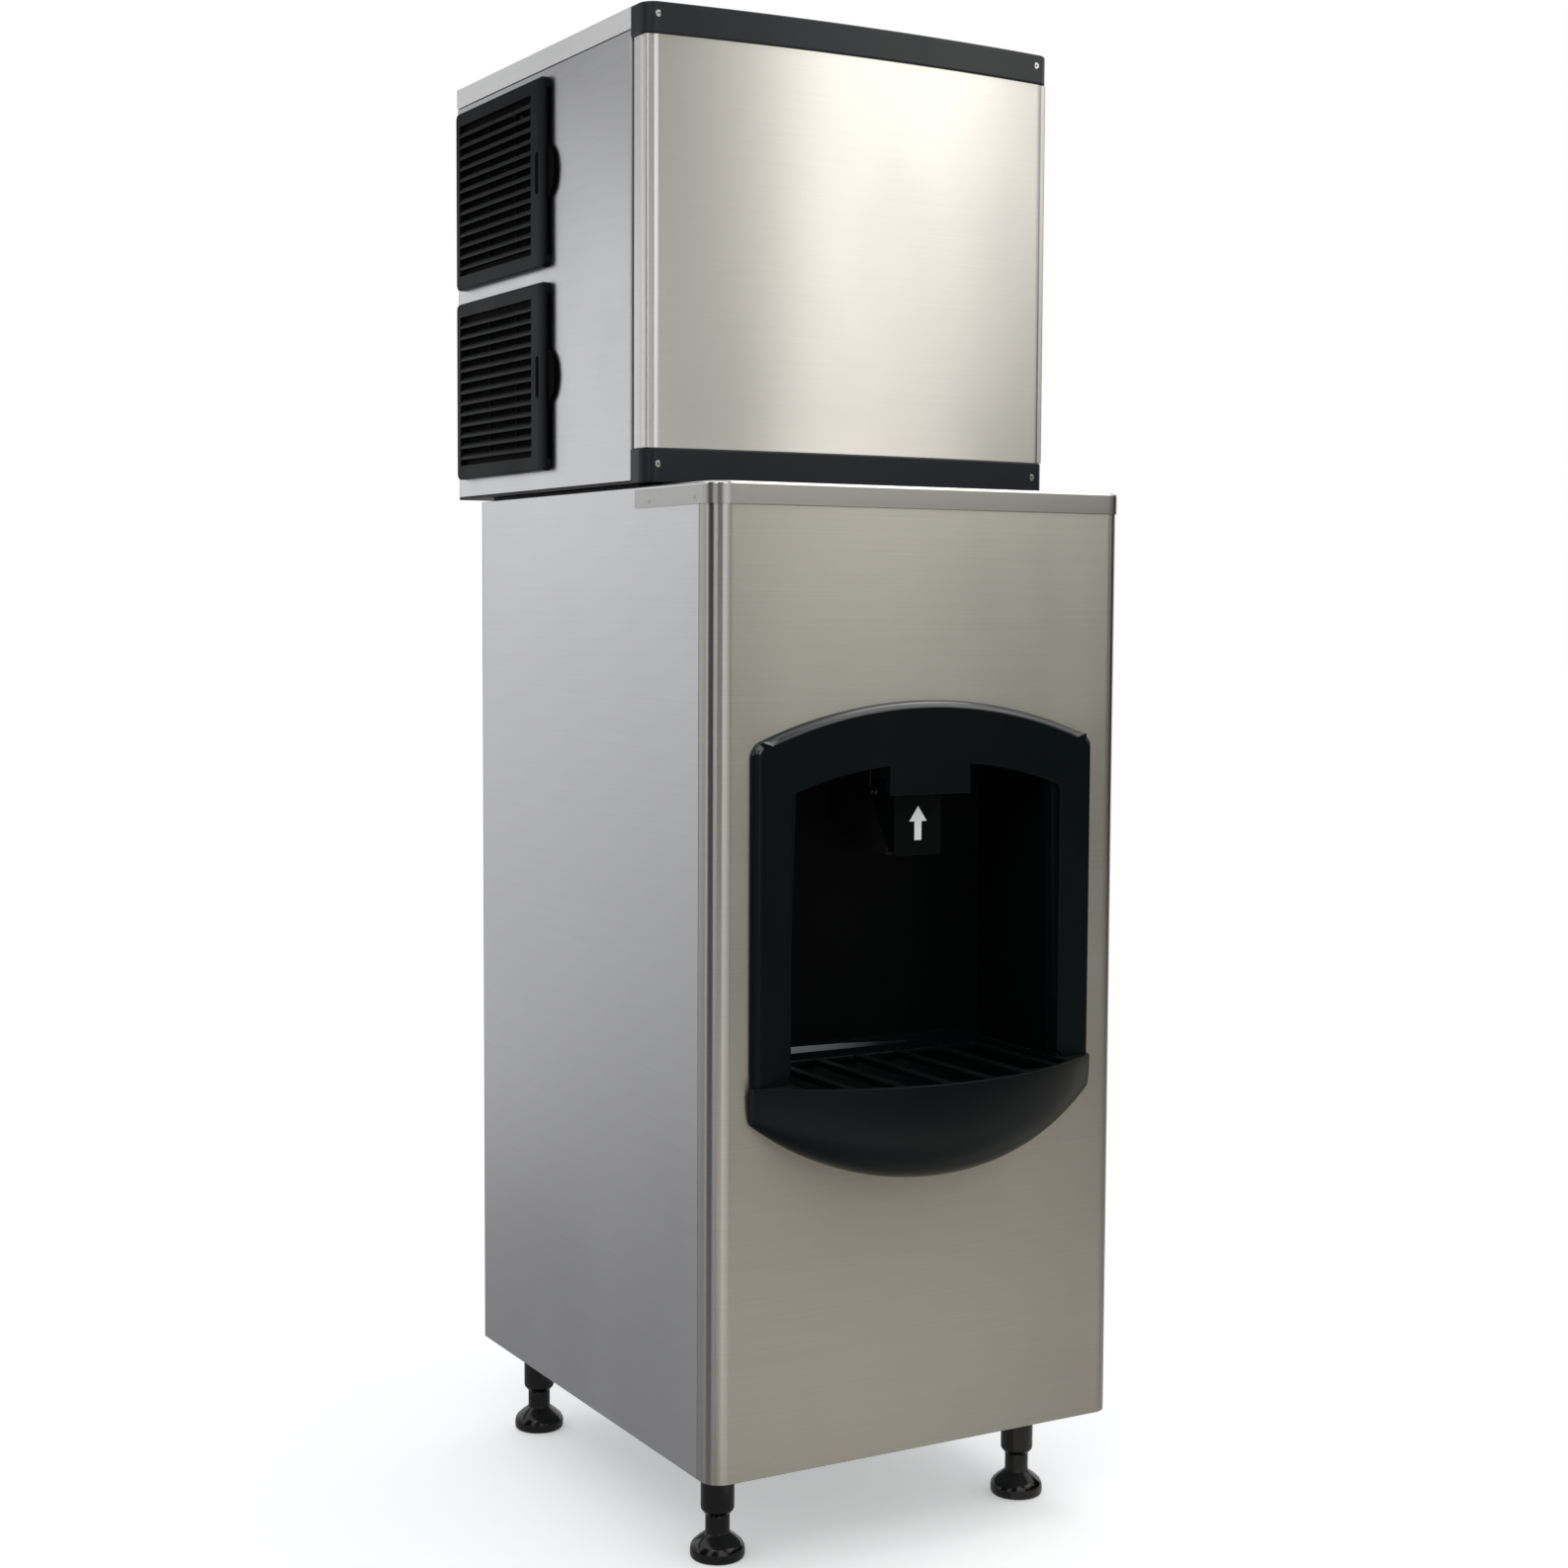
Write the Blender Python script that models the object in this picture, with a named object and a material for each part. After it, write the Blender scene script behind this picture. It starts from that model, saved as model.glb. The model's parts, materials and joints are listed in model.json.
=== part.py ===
"""Floor-standing ice dispenser with a modular ice-making head on top.

Metres, +Z up. X runs to the right as seen from the front, Y runs to the back.
The origin is on the floor, in the middle of the whole assembly.
"""

import math

import bmesh
import bpy
from mathutils import Matrix, Vector

# Clearances, sheet metal and how finely curves are cut
GAP = 0.0003
SHEET = 0.0012
OVERRUN = 0.002
MERGE = 0.000001
CORNER_STEPS = 5
ARCH_STEPS = 14
ROUND_STEPS = 20
FINE_STEPS = 32
SMALL_STEPS = 12
FULL_TURN = 2 * math.pi
QUARTER_TURN = FULL_TURN / 4

# Cabinet
CABINET_WIDTH = 0.560
CABINET_DEPTH = 0.650
CABINET_HEIGHT = 1.125
LEG_HEIGHT = 0.127
CORNER_RADIUS = 0.024
WRAP_DEPTH = 0.033
SEAM = 0.0010
SIDE_RETURN = 0.014
PAN_HEIGHT = 0.025
DECK_FLANGE = 0.022
LEDGE_FLANGE = 0.025
LEDGE_UNDER_HEAD = 0.025

# Legs
LEG_SIDE_INSET = 0.066
FRONT_LEG_INSET = 0.106
REAR_LEG_INSET = 0.031
SLEEVE_RADIUS = 0.020
SLEEVE_LOW = 0.052
SLEEVE_TAPER = 0.008
FOOT_RADIUS = 0.0325
FOOT_EDGE = 0.004
FOOT_HEIGHT = 0.030
NECK_RADIUS = 0.0145
STUD_RADIUS = 0.009
STUD_CLEAR = 0.015
FOOT_WAIST_SHARE = 0.72
FOOT_BULGE_SHARE = 0.45
FOOT_SHOULDER_SHARE = 0.8

# Seal and openings between the cabinet and the head
SEAL_INSET = 0.012
SEAL_WIDTH = 0.014
SEAL_BEHIND_HEAD_FRONT = 0.042
SEAL_BACK = 0.012
HEAD_LIFT = 0.004
BIN_MOUTH_SIDE = 0.054
BIN_MOUTH_MARGIN = 0.012

# Dispensing alcove
LIP_RISE = 0.450
ALCOVE_HEIGHT = 0.368
BEZEL_MARGIN = 0.048
BEZEL_LEG = 0.048
BEZEL_SHOULDER_RISE = 0.015
BEZEL_ARCH = 0.048
BEZEL_PROUD = 0.010
BEZEL_CORNER = 0.016
BEZEL_BEVEL = 0.007
OPENING_SHOULDER_DROP = 0.040
OPENING_ARCH = 0.031
OPENING_CORNER = 0.007
TAB_HALF = 0.055
TAB_DROP = 0.037
TAB_CORNER = 0.003
COLLAR_WALL = 0.003
COLLAR_DEPTH = 0.012
NOTCH_WIDTH = 0.010
NOTCH_HEIGHT = 0.008
LINER_CLEARANCE = 0.004
LINER_DEPTH = 0.168
LINER_WALL = 0.003
LINER_FLANGE = 0.018
CUTOUT_CLEARANCE = 0.0038
CUTOUT_CORNER = 0.004

# Drip basin with its bowl, and the grille
TRAY_DEPTH = 0.077
TRAY_FLOOR_THICKNESS = 0.012
TRAY_CLEARANCE = 0.0005
BOWL_REACH = 0.088
BOWL_DEPTH = 0.122
BOWL_SIDE_DEPTH = 0.043
BOWL_FULLNESS = 2.5
BOWL_STATIONS = 30
BOWL_STEPS = 10
RIM_WIDTH = 0.007
RIM_INSIDE_OPENING = 0.003
SHELF_WIDTH = 0.006
TRAY_DRAFT = 0.008
REAR_RIM_RISE = 0.010
REAR_RIM_WIDTH = 0.009
GRILLE_THICKNESS = 0.008
GRILLE_DROP = 0.006
GRILLE_CLEARANCE = 0.001
GRILLE_BAR = 0.014
GRILLE_SLOTS = 6
GRILLE_BORDER = 0.012
SPIGOT_RADIUS = 0.011
SPIGOT_BORE = 0.008
SPIGOT_DEPTH = 0.030
SPIGOT_PLACE = 0.100

# Ice chute, its gate and the push lever
CHUTE_HALF = 0.0265
CHUTE_WALL = 0.003
MOUTH_FRONT = 0.041
MOUTH_BACK = 0.107
MOUTH_DROP = 0.116
MOUTH_RISE = 0.055
CHUTE_SLOPE = math.radians(30)
CHUTE_CLEAR = 0.052
PIVOT_DEPTH = 0.055
PIVOT_DROP = 0.045
PIVOT_BLOCK_FRONT = 0.038
PIVOT_BLOCK_BACK = 0.080
PIN_RADIUS = 0.0025
PIN_HEAD_RADIUS = 0.004
PIN_HEAD = 0.002
LEVER_PLATE_FRONT = 0.017
LEVER_SHEET = 0.0025
LEVER_LENGTH = 0.074
LEVER_TOP_RISE = 0.012
LEVER_TAIL = 0.011
LEVER_CHEEK_FOOT = 0.012
LEVER_CORNER = 0.004
SPRING_RADIUS = 0.0042
SPRING_WIRE = 0.0006
SPRING_TURNS = 3
SPRING_PITCH = 0.002
SPRING_STEPS = 10
SWITCH_WIDTH = 0.011
SWITCH_DEPTH = 0.030
SWITCH_LIFT = 0.0155
SWITCH_HEIGHT = 0.016
PLUNGER_SIZE = 0.0017
PLUNGER_OFFSET = 0.0065
PLUNGER_LENGTH = 0.0065
PLUNGER_POCKET = 0.0085
GATE_INSET = 0.010
GATE_DROP = 0.006
GATE_THICKNESS = 0.003
GATE_FLOOR_GAP = 0.003
GATE_ROD = 0.003
GATE_SIDE_GAP = 0.0012

# Ice bin and its drive
BIN_SIDE_GAP = 0.028
BIN_WALL = 0.004
BIN_FRONT = 0.294
BIN_BACK_GAP = 0.032
BIN_TAPER_RISE = 0.170
TROUGH_RADIUS = 0.155
TROUGH_ANGLE = math.radians(25)
OUTLET_RISE = 0.097
BIN_RIM = 0.012
SHAFT_RADIUS = 0.008
SHAFT_IN_BOX = 0.040
WHEEL_CLEARANCE = 0.006
WHEEL_WIDTH = 0.046
WHEEL_SET_BACK = 0.004
HUB_RADIUS = 0.026
PADDLES = 8
PADDLE_THICKNESS = 0.005
PADDLE_SWEEP = math.radians(14)
AGITATOR_TUBE = 0.013
AGITATOR_CLEARANCE = 0.023
AGITATOR_ROD = 0.010
AGITATOR_BARS = 4
AGITATOR_TURN = math.radians(45)
AGITATOR_END_GAP = 0.012
GEARBOX_HALF = 0.045
GEARBOX_LOW = 0.060
GEARBOX_DEPTH = 0.066
GEARBOX_CORNER = 0.012
MOTOR_INSET = 0.002
MOTOR_LENGTH = 0.105

# Services in the cabinet
BOX_SIDE_INSET = 0.003
BOX_RIGHT = 0.050
BOX_FRONT = 0.030
BOX_BACK = 0.155
BOX_HEIGHT = 0.095
BOX_CORNER = 0.006
PIPE_RADIUS = 0.0125
PIPE_RISE = 0.073
PIPE_BEND = 0.045
PIPE_BEND_STEPS = 6
PIPE_OUT = 0.018
GLAND_SIDE = 0.110
GLAND_RISE = 0.083
GLAND_RADIUS = 0.014
GLAND_INSIDE = 0.010
GLAND_TIP_RADIUS = 0.010
GLAND_LENGTH = 0.022
GLAND_THREAD = 0.0105
GLAND_BORE = 0.004

# Ice-making head
HEAD_SETBACK = 0.166
HEAD_OVERHANG = 0.078
HEAD_HEIGHT = 0.544
FRONT_BOW = 0.017
BOW_STEPS = 8
HEAD_CORNER = 0.016
HEAD_CORNER_STEPS = 5
HEAD_WRAP = 0.034
HEAD_JOINT = 0.004
TOP_TRIM_HEIGHT = 0.036
BOTTOM_TRIM_HEIGHT = 0.040
TRIM_PROUD = 0.002
TRIM_DEPTH = 0.009
BASE_FLOOR = 0.004
BASE_INSET = 0.001
TOP_FLANGE = 0.025
PANEL_DROP = 0.001
TOP_DROP = 0.0002
DROP_SIDE = 0.084
DROP_BEFORE_FRAME = 0.036
DROP_INTO_FRAME = 0.040

# Side grilles and filters
GRILLE_REAR_INSET = 0.016
GRILLE_LENGTH = 0.284
GRILLE_TOP_INSET = 0.036
GRILLE_LOW_INSET = 0.026
GRILLE_SPACING = 0.018
GRILLE_PROUD = 0.010
GRILLE_FACE = 0.0045
GRILLE_BEVEL = 0.003
GRILLE_SLOPE_LENGTH = 0.020
GRILLE_SLOPE_DROP = 0.003
LOUVRE_FRONT_BORDER = 0.038
LOUVRE_REAR_BORDER = 0.013
LOUVRE_EDGE = 0.015
LOUVRES = 14
LOUVRE_BAR = 0.0045
LOUVRE_SLANT = 0.004
WINDOW_MARGIN = 0.008
GRILLE_CORNER = 0.008
GROOVE_INSET = 0.015
GROOVE_WIDTH = 0.010
GROOVE_DEPTH = 0.0025
GROOVE_HALF = 0.026
FILTER_EDGE = 0.0145
FILTER_CLEARANCE = 0.0013
FILTER_FRONT_INSET = 0.002
FILTER_REAR_INSET = 0.007
FILTER_BORDER = 0.012
FILTER_COLUMNS = 3
FILTER_ROWS = 2
FILTER_BAR = 0.005
FINGER_REACH = 0.023
FINGER_HEIGHT = 0.033
FINGER_STEPS = 8

# Inside the head
CONDENSER_REAR_GAP = 0.012
CONDENSER_LENGTH = 0.270
CONDENSER_SIDE_GAP = 0.018
CONDENSER_THICKNESS = 0.040
CONDENSER_HEADROOM = 0.085
CONDENSER_FINS = 14
FIN_SHARE = 0.35
FIN_GROOVE = 0.008
SHROUD_DEPTH = 0.028
SHROUD_HOLE = 0.088
FAN_CLEARANCE = 0.005
FAN_BLADES = 5
FAN_HUB = 0.024
FAN_WIDTH = 0.020
FAN_SHAFT = 0.004
FAN_BORE_CLEARANCE = 0.0005
BLADE_THICKNESS = 0.002
BLADE_STATIONS = 2
BLADE_ROOT_TWIST = math.radians(36)
BLADE_TIP_TWIST = math.radians(22)
BLADE_ROOT_SHARE = 0.75
FAN_MOTOR_RADIUS = 0.040
FAN_MOTOR_LENGTH = 0.058
FAN_MOTOR_GAP = 0.004
ARM_WIDTH = 0.014
ARM_THICKNESS = 0.003
ARM_MARGIN = 0.024
ARMS = 4
COMPRESSOR_SIDE = 0.130
COMPRESSOR_REAR = 0.138
COMPRESSOR_RADIUS = 0.080
COMPRESSOR_HEIGHT = 0.230
COMPRESSOR_FOOT = 0.100
COMPRESSOR_FOOT_HEIGHT = 0.012
DOME_STEPS = 4
PARTITION_GAP = 0.016
PARTITION_HEADROOM = 0.060
FRAME_SIDE = 0.072
FRAME_DEPTH = 0.096
FRAME_SHEET = 0.003
FRAME_HEADROOM = 0.080
FRAME_BRIDGE = 0.016
EVAPORATOR_SET = 0.048
EVAPORATOR_THICKNESS = 0.022
EVAPORATOR_LIFT = 0.025
EVAPORATOR_COLUMNS = 8
EVAPORATOR_ROWS = 6
CELL_SHARE = 0.86
CELL_DEPTH = 0.014
CURTAIN_SET = 0.086
CURTAIN_THICKNESS = 0.003
CURTAIN_OVERLAP = 0.023
CURTAIN_ROD = 0.003
CURTAIN_PIN_DROP = 0.010
TROUGH_BACK_GAP = 0.003
TROUGH_RISE = 0.070
TROUGH_HEIGHT = 0.065
TROUGH_WALL = 0.003
PUMP_SIDE = 0.040
PUMP_SET = 0.030
PUMP_RADIUS = 0.022
PUMP_HEIGHT = 0.120
PUMP_WAIST_SHARE = 0.7
CONTROL_SIDE_GAP = 0.0105
CONTROL_BEHIND_FRONT = 0.059
CONTROL_BEFORE_PARTITION = 0.020
CONTROL_HEADROOM = 0.076
CONTROL_HEIGHT = 0.240
VENT_ROWS = 10
VENT_PITCH = 0.022
VENT_HEIGHT = 0.007
VENT_HALF = 0.075
VENT_SIDE = 0.150
VENT_DROP = 0.196
INLET_X = -0.090
INLET_RISE = 0.084
INLET_RADIUS = 0.010
INLET_NUT = 0.016
INLET_NUT_LENGTH = 0.016
INLET_BORE = 0.005

# Places worked out from the sizes above. A depth is counted back from the cabinet's front.
HALF = CABINET_WIDTH / 2
HEAD_DEPTH = CABINET_DEPTH + HEAD_OVERHANG - HEAD_SETBACK
TOTAL_DEPTH = BOWL_REACH + HEAD_SETBACK + HEAD_DEPTH
FRONT = BOWL_REACH - TOTAL_DEPTH / 2
REAR = FRONT + CABINET_DEPTH
CABINET_TOP = LEG_HEIGHT + CABINET_HEIGHT
DECK_TOP = CABINET_TOP - SHEET - GAP
INSIDE = HALF - SHEET - GAP
PAN_BACK = REAR - 2 * (SHEET + GAP)
LEG_SPREAD = HALF - LEG_SIDE_INSET
STUD_LENGTH = LEG_HEIGHT - SLEEVE_LOW - STUD_CLEAR

LIP_HEIGHT = LEG_HEIGHT + LIP_RISE
LINER_TOP = LIP_HEIGHT + ALCOVE_HEIGHT
LINER_LOW = LIP_HEIGHT - TRAY_DEPTH
TRAY_FLOOR = LINER_LOW + TRAY_FLOOR_THICKNESS
BEZEL_HALF = HALF - BEZEL_MARGIN
BEZEL_SHOULDER = LINER_TOP + BEZEL_SHOULDER_RISE
BEZEL_CROWN = BEZEL_SHOULDER + BEZEL_ARCH
OPENING_HALF = BEZEL_HALF - BEZEL_LEG
OPENING_SHOULDER = LINER_TOP - OPENING_SHOULDER_DROP
OPENING_CROWN = OPENING_SHOULDER + OPENING_ARCH
TAB_LOW = OPENING_CROWN - TAB_DROP
LINER_HALF = OPENING_HALF + LINER_CLEARANCE
CUTOUT_HALF = LINER_HALF + CUTOUT_CLEARANCE
CUTOUT_TOP = LINER_TOP + CUTOUT_CLEARANCE
RIM_HALF = OPENING_HALF - RIM_INSIDE_OPENING
REAR_RIM_HEIGHT = LIP_HEIGHT + REAR_RIM_RISE

MOUTH_HEIGHT = LINER_TOP - MOUTH_DROP
MOUTH_CEILING = MOUTH_HEIGHT + MOUTH_RISE
PIVOT = Vector((0, FRONT + PIVOT_DEPTH, LINER_TOP - PIVOT_DROP))
LEVER_LOW = PIVOT.z - LEVER_LENGTH
CHUTE_END = BIN_FRONT - GAP
CHUTE_FLOOR_END = MOUTH_HEIGHT + (CHUTE_END - MOUTH_BACK) * math.tan(CHUTE_SLOPE)
GATE_PIVOT_DEPTH = CHUTE_END - GATE_INSET
GATE_LENGTH = CHUTE_CLEAR - GATE_DROP - GATE_FLOOR_GAP
AXLE_HEIGHT = CHUTE_FLOOR_END - OUTLET_RISE
AXLE = Vector((0, FRONT + BIN_FRONT, AXLE_HEIGHT))
BIN_HALF = HALF - BIN_SIDE_GAP
BIN_BACK = CABINET_DEPTH - BIN_BACK_GAP
BIN_TAPER_TOP = AXLE_HEIGHT + BIN_TAPER_RISE
BIN_MOUTH_HALF = HALF - BIN_MOUTH_SIDE
BIN_MOUTH_FRONT = BIN_FRONT + BIN_MOUTH_MARGIN
BIN_MOUTH_BACK = BIN_BACK - BIN_MOUTH_MARGIN
WHEEL_RADIUS = TROUGH_RADIUS - WHEEL_CLEARANCE
AGITATOR_REACH = TROUGH_RADIUS - AGITATOR_CLEARANCE
MOTOR_RADIUS = GEARBOX_DEPTH / 2 - MOTOR_INSET
BOX_LEFT = LINER_HALF - BOX_SIDE_INSET
PIPE_LOW = LEG_HEIGHT + PIPE_RISE
GLAND_PLACE = HALF - GLAND_SIDE
GLAND_HEIGHT = LEG_HEIGHT + GLAND_RISE

HEAD_FRONT = FRONT + HEAD_SETBACK
HEAD_BACK_DEPTH = HEAD_SETBACK + HEAD_DEPTH
HEAD_REAR = HEAD_FRONT + HEAD_DEPTH
HEAD_LOW = CABINET_TOP + HEAD_LIFT
HEAD_TOP = HEAD_LOW + HEAD_HEIGHT
HEAD_SEAM = HEAD_FRONT + HEAD_WRAP
HEAD_FLOOR = HEAD_LOW + BASE_FLOOR
SEAL_FRONT = HEAD_SETBACK + SEAL_BEHIND_HEAD_FRONT
LEDGE_DEPTH = HEAD_SETBACK + LEDGE_UNDER_HEAD

GRILLE_FRAME_BACK = HEAD_BACK_DEPTH - GRILLE_REAR_INSET
GRILLE_FRAME_FRONT = GRILLE_FRAME_BACK - GRILLE_LENGTH
GRILLE_FRAME_HEIGHT = (HEAD_HEIGHT - GRILLE_TOP_INSET - GRILLE_LOW_INSET - GRILLE_SPACING) / 2
UPPER_GRILLE_HEIGHT = HEAD_TOP - GRILLE_TOP_INSET - GRILLE_FRAME_HEIGHT / 2
LOWER_GRILLE_HEIGHT = HEAD_LOW + GRILLE_LOW_INSET + GRILLE_FRAME_HEIGHT / 2
LOUVRE_FRONT = GRILLE_FRAME_FRONT + LOUVRE_FRONT_BORDER
LOUVRE_BACK = GRILLE_FRAME_BACK - LOUVRE_REAR_BORDER
LOUVRE_SPAN = GRILLE_FRAME_HEIGHT - 2 * LOUVRE_EDGE
GROOVE_PLACE = GRILLE_FRAME_FRONT + GROOVE_INSET
FILTER_HALF_HEIGHT = GRILLE_FRAME_HEIGHT / 2 - FILTER_EDGE
FILTER_THICKNESS = GRILLE_PROUD - GRILLE_FACE - FILTER_CLEARANCE
FILTER_FRONT = GRILLE_FRAME_FRONT + FILTER_FRONT_INSET
FILTER_BACK = GRILLE_FRAME_BACK - FILTER_REAR_INSET

CONDENSER_BACK = HEAD_BACK_DEPTH - CONDENSER_REAR_GAP
CONDENSER_FRONT = CONDENSER_BACK - CONDENSER_LENGTH
CONDENSER_SIDE = HALF - CONDENSER_SIDE_GAP
CONDENSER_HEIGHT = HEAD_HEIGHT - CONDENSER_HEADROOM
FAN_RADIUS = SHROUD_HOLE - FAN_CLEARANCE
FAN_SHAFT_HOLE = FAN_SHAFT + FAN_BORE_CLEARANCE
FAN_CENTRE_Y = FRONT + (CONDENSER_FRONT + CONDENSER_BACK) / 2
FAN_CENTRE_Z = HEAD_FLOOR + CONDENSER_HEIGHT / 2
ARM_REACH = SHROUD_HOLE + ARM_MARGIN
COMPRESSOR_X = HALF - COMPRESSOR_SIDE
COMPRESSOR_PLACE = HEAD_BACK_DEPTH - COMPRESSOR_REAR
PARTITION_PLACE = CONDENSER_FRONT - PARTITION_GAP
PARTITION_HEIGHT = HEAD_HEIGHT - PARTITION_HEADROOM
FRAME_HALF = HALF - FRAME_SIDE
FRAME_FRONT = PARTITION_PLACE - FRAME_DEPTH
FRAME_TOP = HEAD_TOP - FRAME_HEADROOM
EVAPORATOR_TOP = FRAME_TOP - FRAME_BRIDGE
EVAPORATOR_FRONT = PARTITION_PLACE - EVAPORATOR_SET
TROUGH_FRONT = EVAPORATOR_FRONT
TROUGH_BACK = PARTITION_PLACE - TROUGH_BACK_GAP
TROUGH_LOW = HEAD_FLOOR + TROUGH_RISE
TROUGH_TOP = TROUGH_LOW + TROUGH_HEIGHT
EVAPORATOR_LOW = TROUGH_TOP + EVAPORATOR_LIFT
CURTAIN_PLACE = PARTITION_PLACE - CURTAIN_SET
CURTAIN_LOW = TROUGH_TOP - CURTAIN_OVERLAP
CURTAIN_PIVOT_HEIGHT = FRAME_TOP - CURTAIN_PIN_DROP
DROP_HALF = HALF - DROP_SIDE
DROP_FRONT = FRAME_FRONT - DROP_BEFORE_FRAME
DROP_BACK = FRAME_FRONT + DROP_INTO_FRAME
PUMP_X = HALF - PUMP_SIDE
PUMP_PLACE = PARTITION_PLACE - PUMP_SET
CONTROL_DEPTH = INSIDE - FRAME_HALF - CONTROL_SIDE_GAP
CONTROL_FRONT = HEAD_SETBACK + CONTROL_BEHIND_FRONT
CONTROL_BACK = PARTITION_PLACE - CONTROL_BEFORE_PARTITION
CONTROL_TOP = HEAD_TOP - CONTROL_HEADROOM
CONTROL_LOW = CONTROL_TOP - CONTROL_HEIGHT
VENT_CENTRE_X = HALF - VENT_SIDE
VENT_CENTRE_Z = HEAD_TOP - VENT_DROP
INLET_HEIGHT = HEAD_LOW + INLET_RISE

# Finishes: colour, roughness, metallic
STAINLESS = ((0.62, 0.62, 0.60), 0.32, 1.0)
GALVANISED = ((0.50, 0.52, 0.53), 0.45, 1.0)
BLACK_SATIN = ((0.012, 0.016, 0.020), 0.38, 0.0)
BLACK_GLOSS = ((0.010, 0.010, 0.011), 0.22, 0.0)
BLACK_MATT = ((0.015, 0.015, 0.016), 0.60, 0.0)
TRIM_BLACK = ((0.020, 0.022, 0.027), 0.42, 0.0)
WHITE_PLASTIC = ((0.78, 0.79, 0.78), 0.45, 0.0)
GREY_PLASTIC = ((0.30, 0.31, 0.32), 0.50, 0.0)
RUBBER = ((0.02, 0.02, 0.02), 0.80, 0.0)
STEEL = ((0.55, 0.55, 0.56), 0.30, 1.0)
BRASS = ((0.70, 0.52, 0.25), 0.30, 1.0)
COPPER = ((0.72, 0.40, 0.25), 0.35, 1.0)
ALUMINIUM = ((0.72, 0.73, 0.74), 0.40, 1.0)


# Scene and material helpers

def clear_scene():
    for thing in list(bpy.data.objects):
        bpy.data.objects.remove(thing, do_unlink=True)


def make_material(name, finish):
    colour, roughness, metallic = finish
    material = bpy.data.materials.new(name + "_finish")
    material.use_nodes = True
    shader = material.node_tree.nodes["Principled BSDF"]
    shader.inputs["Base Color"].default_value = (*colour, 1)
    shader.inputs["Roughness"].default_value = roughness
    shader.inputs["Metallic"].default_value = metallic
    return material


def add_object(name, bm, finish, origin=(0, 0, 0), smooth=False):
    """Turns a mesh built in place into a named object whose origin is the point given."""
    bmesh.ops.recalc_face_normals(bm, faces=bm.faces[:])
    bmesh.ops.translate(bm, vec=-Vector(origin), verts=bm.verts[:])
    mesh = bpy.data.meshes.new(name)
    bm.to_mesh(mesh)
    bm.free()
    obj = bpy.data.objects.new(name, mesh)
    bpy.context.scene.collection.objects.link(obj)
    obj.location = origin
    mesh.materials.append(make_material(name, finish))
    if smooth:
        mesh.shade_smooth()
        mesh.set_sharp_from_angle(angle=math.radians(35))
    return obj


def helper(name, bm):
    """A hidden object that only cuts or joins another."""
    bmesh.ops.recalc_face_normals(bm, faces=bm.faces[:])
    mesh = bpy.data.meshes.new(name)
    bm.to_mesh(mesh)
    bm.free()
    obj = bpy.data.objects.new(name, mesh)
    bpy.context.scene.collection.objects.link(obj)
    obj.hide_render = True
    obj.display_type = "WIRE"
    return obj


def combine(obj, bm, operation, label):
    modifier = obj.modifiers.new(label, "BOOLEAN")
    modifier.operation = operation
    modifier.solver = "EXACT"
    modifier.object = helper(f"{obj.name}_{label}", bm)


def cut(obj, bm, label):
    combine(obj, bm, "DIFFERENCE", label)


def join(obj, bm, label):
    combine(obj, bm, "UNION", label)


# Outline helpers: an outline is a closed list of two-number points

def place(axis, a, b, along):
    """A point of an outline that is extruded along the axis named."""
    if axis == "X":
        return Vector((along, a, b))
    if axis == "Y":
        return Vector((a, along, b))
    return Vector((a, b, along))


def rectangle(low_a, high_a, low_b, high_b):
    return [(low_a, low_b), (high_a, low_b), (high_a, high_b), (low_a, high_b)]


def arc(centre, radius, start, end, steps):
    """Points from one angle to another, in radians."""
    points = []
    for step in range(steps + 1):
        angle = start + (end - start) * step / steps
        points.append((centre[0] + radius * math.cos(angle), centre[1] + radius * math.sin(angle)))
    return points


def fillet(corners, radii, closed=True, steps=CORNER_STEPS):
    """The outline with each corner rounded by its own radius, zero for a sharp one."""
    points = []
    count = len(corners)
    for index, radius in enumerate(radii):
        here = Vector(corners[index])
        if not radius or (not closed and index in (0, count - 1)):
            points.append(tuple(here))
            continue
        to_last = (Vector(corners[index - 1]) - here).normalized()
        to_next = (Vector(corners[(index + 1) % count]) - here).normalized()
        half_angle = to_last.angle(to_next) / 2
        middle = here + (to_last + to_next).normalized() * (radius / math.sin(half_angle))
        first = here + to_last * (radius / math.tan(half_angle)) - middle
        last = here + to_next * (radius / math.tan(half_angle)) - middle
        start = math.atan2(first.y, first.x)
        turn = math.remainder(math.atan2(last.y, last.x) - start, FULL_TURN)
        points += arc(middle, radius, start, start + turn, steps)
    return points


def thicken(path, thickness):
    """The closed outline of a sheet that follows an open path, with its metal on the left of it."""
    inner = []
    for index, point in enumerate(path):
        here = Vector(point)
        before = here - Vector(path[index - 1]) if index else None
        after = Vector(path[index + 1]) - here if index < len(path) - 1 else None
        sides = [Vector((-run.y, run.x)).normalized() for run in (before, after) if run]
        middle = (sides[0] + sides[-1]).normalized()
        inner.append(tuple(here + middle * (thickness / middle.dot(sides[0]))))
    return list(path) + inner[::-1]


def sag(half_chord, rise):
    """The radius of an arc from its half chord and its rise."""
    return (half_chord ** 2 + rise ** 2) / (2 * rise)


# Solid helpers, each returning a bmesh in world position

def prism(outline, axis, low, high):
    bm = bmesh.new()
    face = bm.faces.new([bm.verts.new(place(axis, a, b, low)) for a, b in outline])
    extruded = bmesh.ops.extrude_face_region(bm, geom=[face], use_keep_orig=True)
    moved = [item for item in extruded["geom"] if isinstance(item, bmesh.types.BMVert)]
    bmesh.ops.translate(bm, vec=place(axis, 0, 0, high - low), verts=moved)
    bmesh.ops.recalc_face_normals(bm, faces=bm.faces[:])
    return bm


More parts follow.
